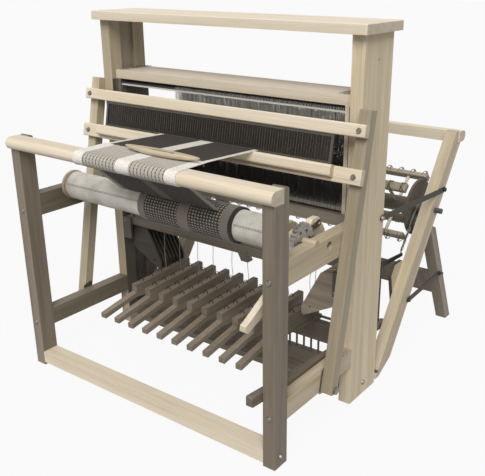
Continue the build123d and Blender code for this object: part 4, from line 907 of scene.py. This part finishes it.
class LOOM_OT_fittings(bpy.types.Operator):
    """Set the wires on the sectional beam, the bolts sunk in the rails, the brake chain and the harness hooks"""
    bl_idname = "loom.fittings"
    bl_label = "Set wire fittings"

    def execute(self, context):
        wire = steel("hoop_wire", "#55524E", 0.35)
        bright = steel("chain_steel", "#A3A19D", 0.3)
        # Two crossing wires arch over a slat beside each dowel: across the slat, and out from the beam's axis
        shape = np.array([[-0.018, 0.131], [-0.016, 0.142], [-0.009, 0.152], [0.0, 0.156], [0.009, 0.152],
                          [0.016, 0.142], [0.018, 0.131]])
        first, section, lean = -0.4572, 0.0508, 0.008
        x = first + section * np.arange(19)
        parts = []
        for quarter in range(4):
            turn = math.radians(45 + 90 * quarter)
            outward = np.array([math.cos(turn), math.sin(turn)])
            across = np.array([-math.sin(turn), math.cos(turn)])
            side = shape[:, :1] * across + shape[:, 1:] * outward + np.array(WARP_AXIS)
            for way in (-1, 1):
                slant = way * lean * np.linspace(-1, 1, len(side))
                paths = np.stack([np.column_stack([a + slant, side]) for a in x])
                parts.append(wires(paths, 0.0014, 6, up=(1.0, 0.0, 0.0)))
        points, faces = join(*parts)
        piece("section_hoops", mesh_of("section_hoops", points, faces), wire, "warp_roller")

        # Rings inside each other fill the round holes in the rails' outer faces as bolt heads, painted dark as
        # the shade in the holes
        head_side, head_centre, rings = 0.5345, (FRONT + 0.272, 0.626), (0.0030, 0.0060, 0.0090, 0.0118)
        heads = []
        for side in (-1, 1):
            for reach in rings:
                ring = arc(head_centre, reach, 0, 2 * np.pi, 49)
                heads.append(np.column_stack([np.full(49, side * head_side), ring]))
        points, faces = wires(np.stack(heads), 0.0018, 6, up=(1.0, 0.0, 0.0))
        piece("rail_bolt_heads", mesh_of("rail_bolt_heads", points, faces),
              steel("shaded_bolt_steel", "#3A3836", 0.45, "#2D2A27"), "frame")

        # Nine oval links, each turned by a right angle against the one before
        low = np.array([0.4905, FRONT + 0.8790, 0.3990])
        high = np.array([0.4905, FRONT + 1.0045, 0.5560])
        link_start, link_pitch, link_half, link_wide = 0.006, 0.0125, 0.0085, 0.0048
        along = (high - low) / np.linalg.norm(high - low)
        turn = np.linspace(0, 2 * np.pi, 17)
        links = []
        for number in range(9):
            side = np.array([1.0, 0.0, 0.0]) if number % 2 else np.cross(along, [1.0, 0.0, 0.0])
            centre = low + along * (link_start + link_pitch * number)
            links.append(centre + np.outer(link_half * np.cos(turn), along)
                         + np.outer(link_wide * np.sin(turn), side))
        points, faces = wires(np.stack(links), 0.0013, 6, up=(0.3, 0.5, 0.8))
        piece("brake_chain", mesh_of("brake_chain", points, faces), bright, "back_frame")

        dark = steel("dark_hook_wire", "#4A4845", 0.45, "#35322F")
        # A bent wire lies on each end of a harness: a wave of 2.2 turns in plan and three low arches in height
        chance = np.random.default_rng(11)
        inner, reach, height = 0.452, 0.040, 1.0343
        step = np.linspace(0, 1, 15)
        for index in range(HARNESSES):
            y = FRONT + HARNESS_FIRST + index * HARNESS_PITCH
            hooks = []
            for side in (-1, 1):
                wave = 0.0045 * np.sin(2 * np.pi * (2.2 * step + chance.uniform(0, 1)))
                arch = 0.0022 * np.abs(np.sin(2 * np.pi * 1.5 * step))
                hooks.append(np.stack([side * (inner + reach * step), y + wave, height + arch], -1))
            points, faces = wires(np.stack(hooks), 0.0009, up=(0.0, 0.0, 1.0))
            piece(f"harness_hooks_{index + 1}", mesh_of(f"harness_hooks_{index + 1}", points, faces), dark,
                  f"harness_{index + 1}_body")
        return {"FINISHED"}


def seen_directly(tree):
    """1 for rays from the camera and for what shines or is seen through, 0 for light that falls on the loom."""
    rays = add(tree, "ShaderNodeLightPath").outputs
    return math_node(tree, "MAXIMUM", math_node(tree, "MAXIMUM", rays["Is Camera Ray"], rays["Is Glossy Ray"]),
                     rays["Is Transmission Ray"])


class LOOM_OT_stage(bpy.types.Operator):
    """Set the pale floor, the soft light and the camera"""
    bl_idname = "loom.stage"
    bl_label = "Set the stage"

    def execute(self, context):
        half, white_share, floor_tone, fill = 30.0, 0.93, 0.32, 0.36
        corners = np.array([[-half, -half, 0], [half, -half, 0], [half, half, 0], [-half, half, 0]])
        floor = bpy.data.objects.new("floor", mesh_of("floor", corners, np.array([[0, 1, 2, 3]])))
        bpy.context.collection.objects.link(floor)
        material = bpy.data.materials.new("pale_floor")
        material.use_nodes = True
        tree = material.node_tree
        tree.nodes.clear()
        matt = add(tree, "ShaderNodeBsdfDiffuse", None, Color=(floor_tone, floor_tone, floor_tone, 1))
        glow = add(tree, "ShaderNodeEmission", None, Color=(1, 1, 1, 1), Strength=1.0)
        mixed = add(tree, "ShaderNodeMixShader", None, i1=matt.outputs[0], i2=glow.outputs[0],
                    Fac=math_node(tree, "MULTIPLY", seen_directly(tree), white_share))
        add(tree, "ShaderNodeOutputMaterial", None, Surface=mixed.outputs[0])
        floor.data.materials.append(material)
        world = bpy.data.worlds.new("studio")
        context.scene.world = world
        world.use_nodes = True
        tree = world.node_tree
        tree.nodes.clear()
        strength = add(tree, "ShaderNodeMapRange", None, Value=seen_directly(tree), To_Min=fill,
                       To_Max=1.0).outputs["Result"]
        sky = add(tree, "ShaderNodeBackground", None, Color=(1, 1, 1, 1), Strength=strength)
        add(tree, "ShaderNodeOutputWorld", None, Surface=sky.outputs[0])
        lamp = bpy.data.lights.new("key_light", "SUN")
        lamp.energy = 2.9
        lamp.angle = math.radians(36)
        made = bpy.data.objects.new("key_light", lamp)
        made.rotation_euler = [math.radians(a) for a in (44, 0, 28)]
        bpy.context.collection.objects.link(made)
        camera = bpy.data.cameras.new("camera")
        camera.sensor_width = 36.0
        camera.lens = 54.26
        camera.shift_x = -0.0540
        camera.shift_y = 0.0140
        camera.clip_end = 100
        made = bpy.data.objects.new("camera", camera)
        made.location = (1.5739, FRONT - 1.4453, 1.3877)
        made.rotation_euler = (math.radians(90 - 20.84), 0, math.radians(35.97))
        bpy.context.collection.objects.link(made)
        context.scene.camera = made
        context.scene.view_settings.view_transform = "Standard"
        return {"FINISHED"}


STEPS = (LOOM_OT_timber, LOOM_OT_heddles, LOOM_OT_warp, LOOM_OT_roll, LOOM_OT_cloth, LOOM_OT_shuttle,
         LOOM_OT_treadle_backs, LOOM_OT_cords, LOOM_OT_fittings, LOOM_OT_stage)


class LOOM_PT_steps(bpy.types.Panel):
    """The steps that dress the loom"""
    bl_idname = "LOOM_PT_steps"
    bl_label = "Floor loom"
    bl_space_type = "VIEW_3D"
    bl_region_type = "UI"
    bl_category = "Loom"

    def draw(self, context):
        self.layout.prop(context.scene.loom_timber, "pale")
        for name in ("heddles", "wire", "warp", "yarn"):
            self.layout.prop(context.scene.loom_weaving, name)
        for step in STEPS:
            self.layout.operator(step.bl_idname)


CLASSES = (LoomTimber, LoomWeaving, *STEPS, LOOM_PT_steps)


def register():
    """Register the classes and give the scene their settings."""
    for made in CLASSES:
        bpy.utils.register_class(made)
    bpy.types.Scene.loom_timber = PointerProperty(type=LoomTimber)
    bpy.types.Scene.loom_weaving = PointerProperty(type=LoomWeaving)


def unregister():
    """Take the settings and the classes away again."""
    del bpy.types.Scene.loom_weaving
    del bpy.types.Scene.loom_timber
    for made in reversed(CLASSES):
        bpy.utils.unregister_class(made)


def main():
    """Dress the loom step by step."""
    register()
    for step in STEPS:
        group, name = step.bl_idname.split(".")
        getattr(getattr(bpy.ops, group), name)()


if __name__ == "__main__":
    main()
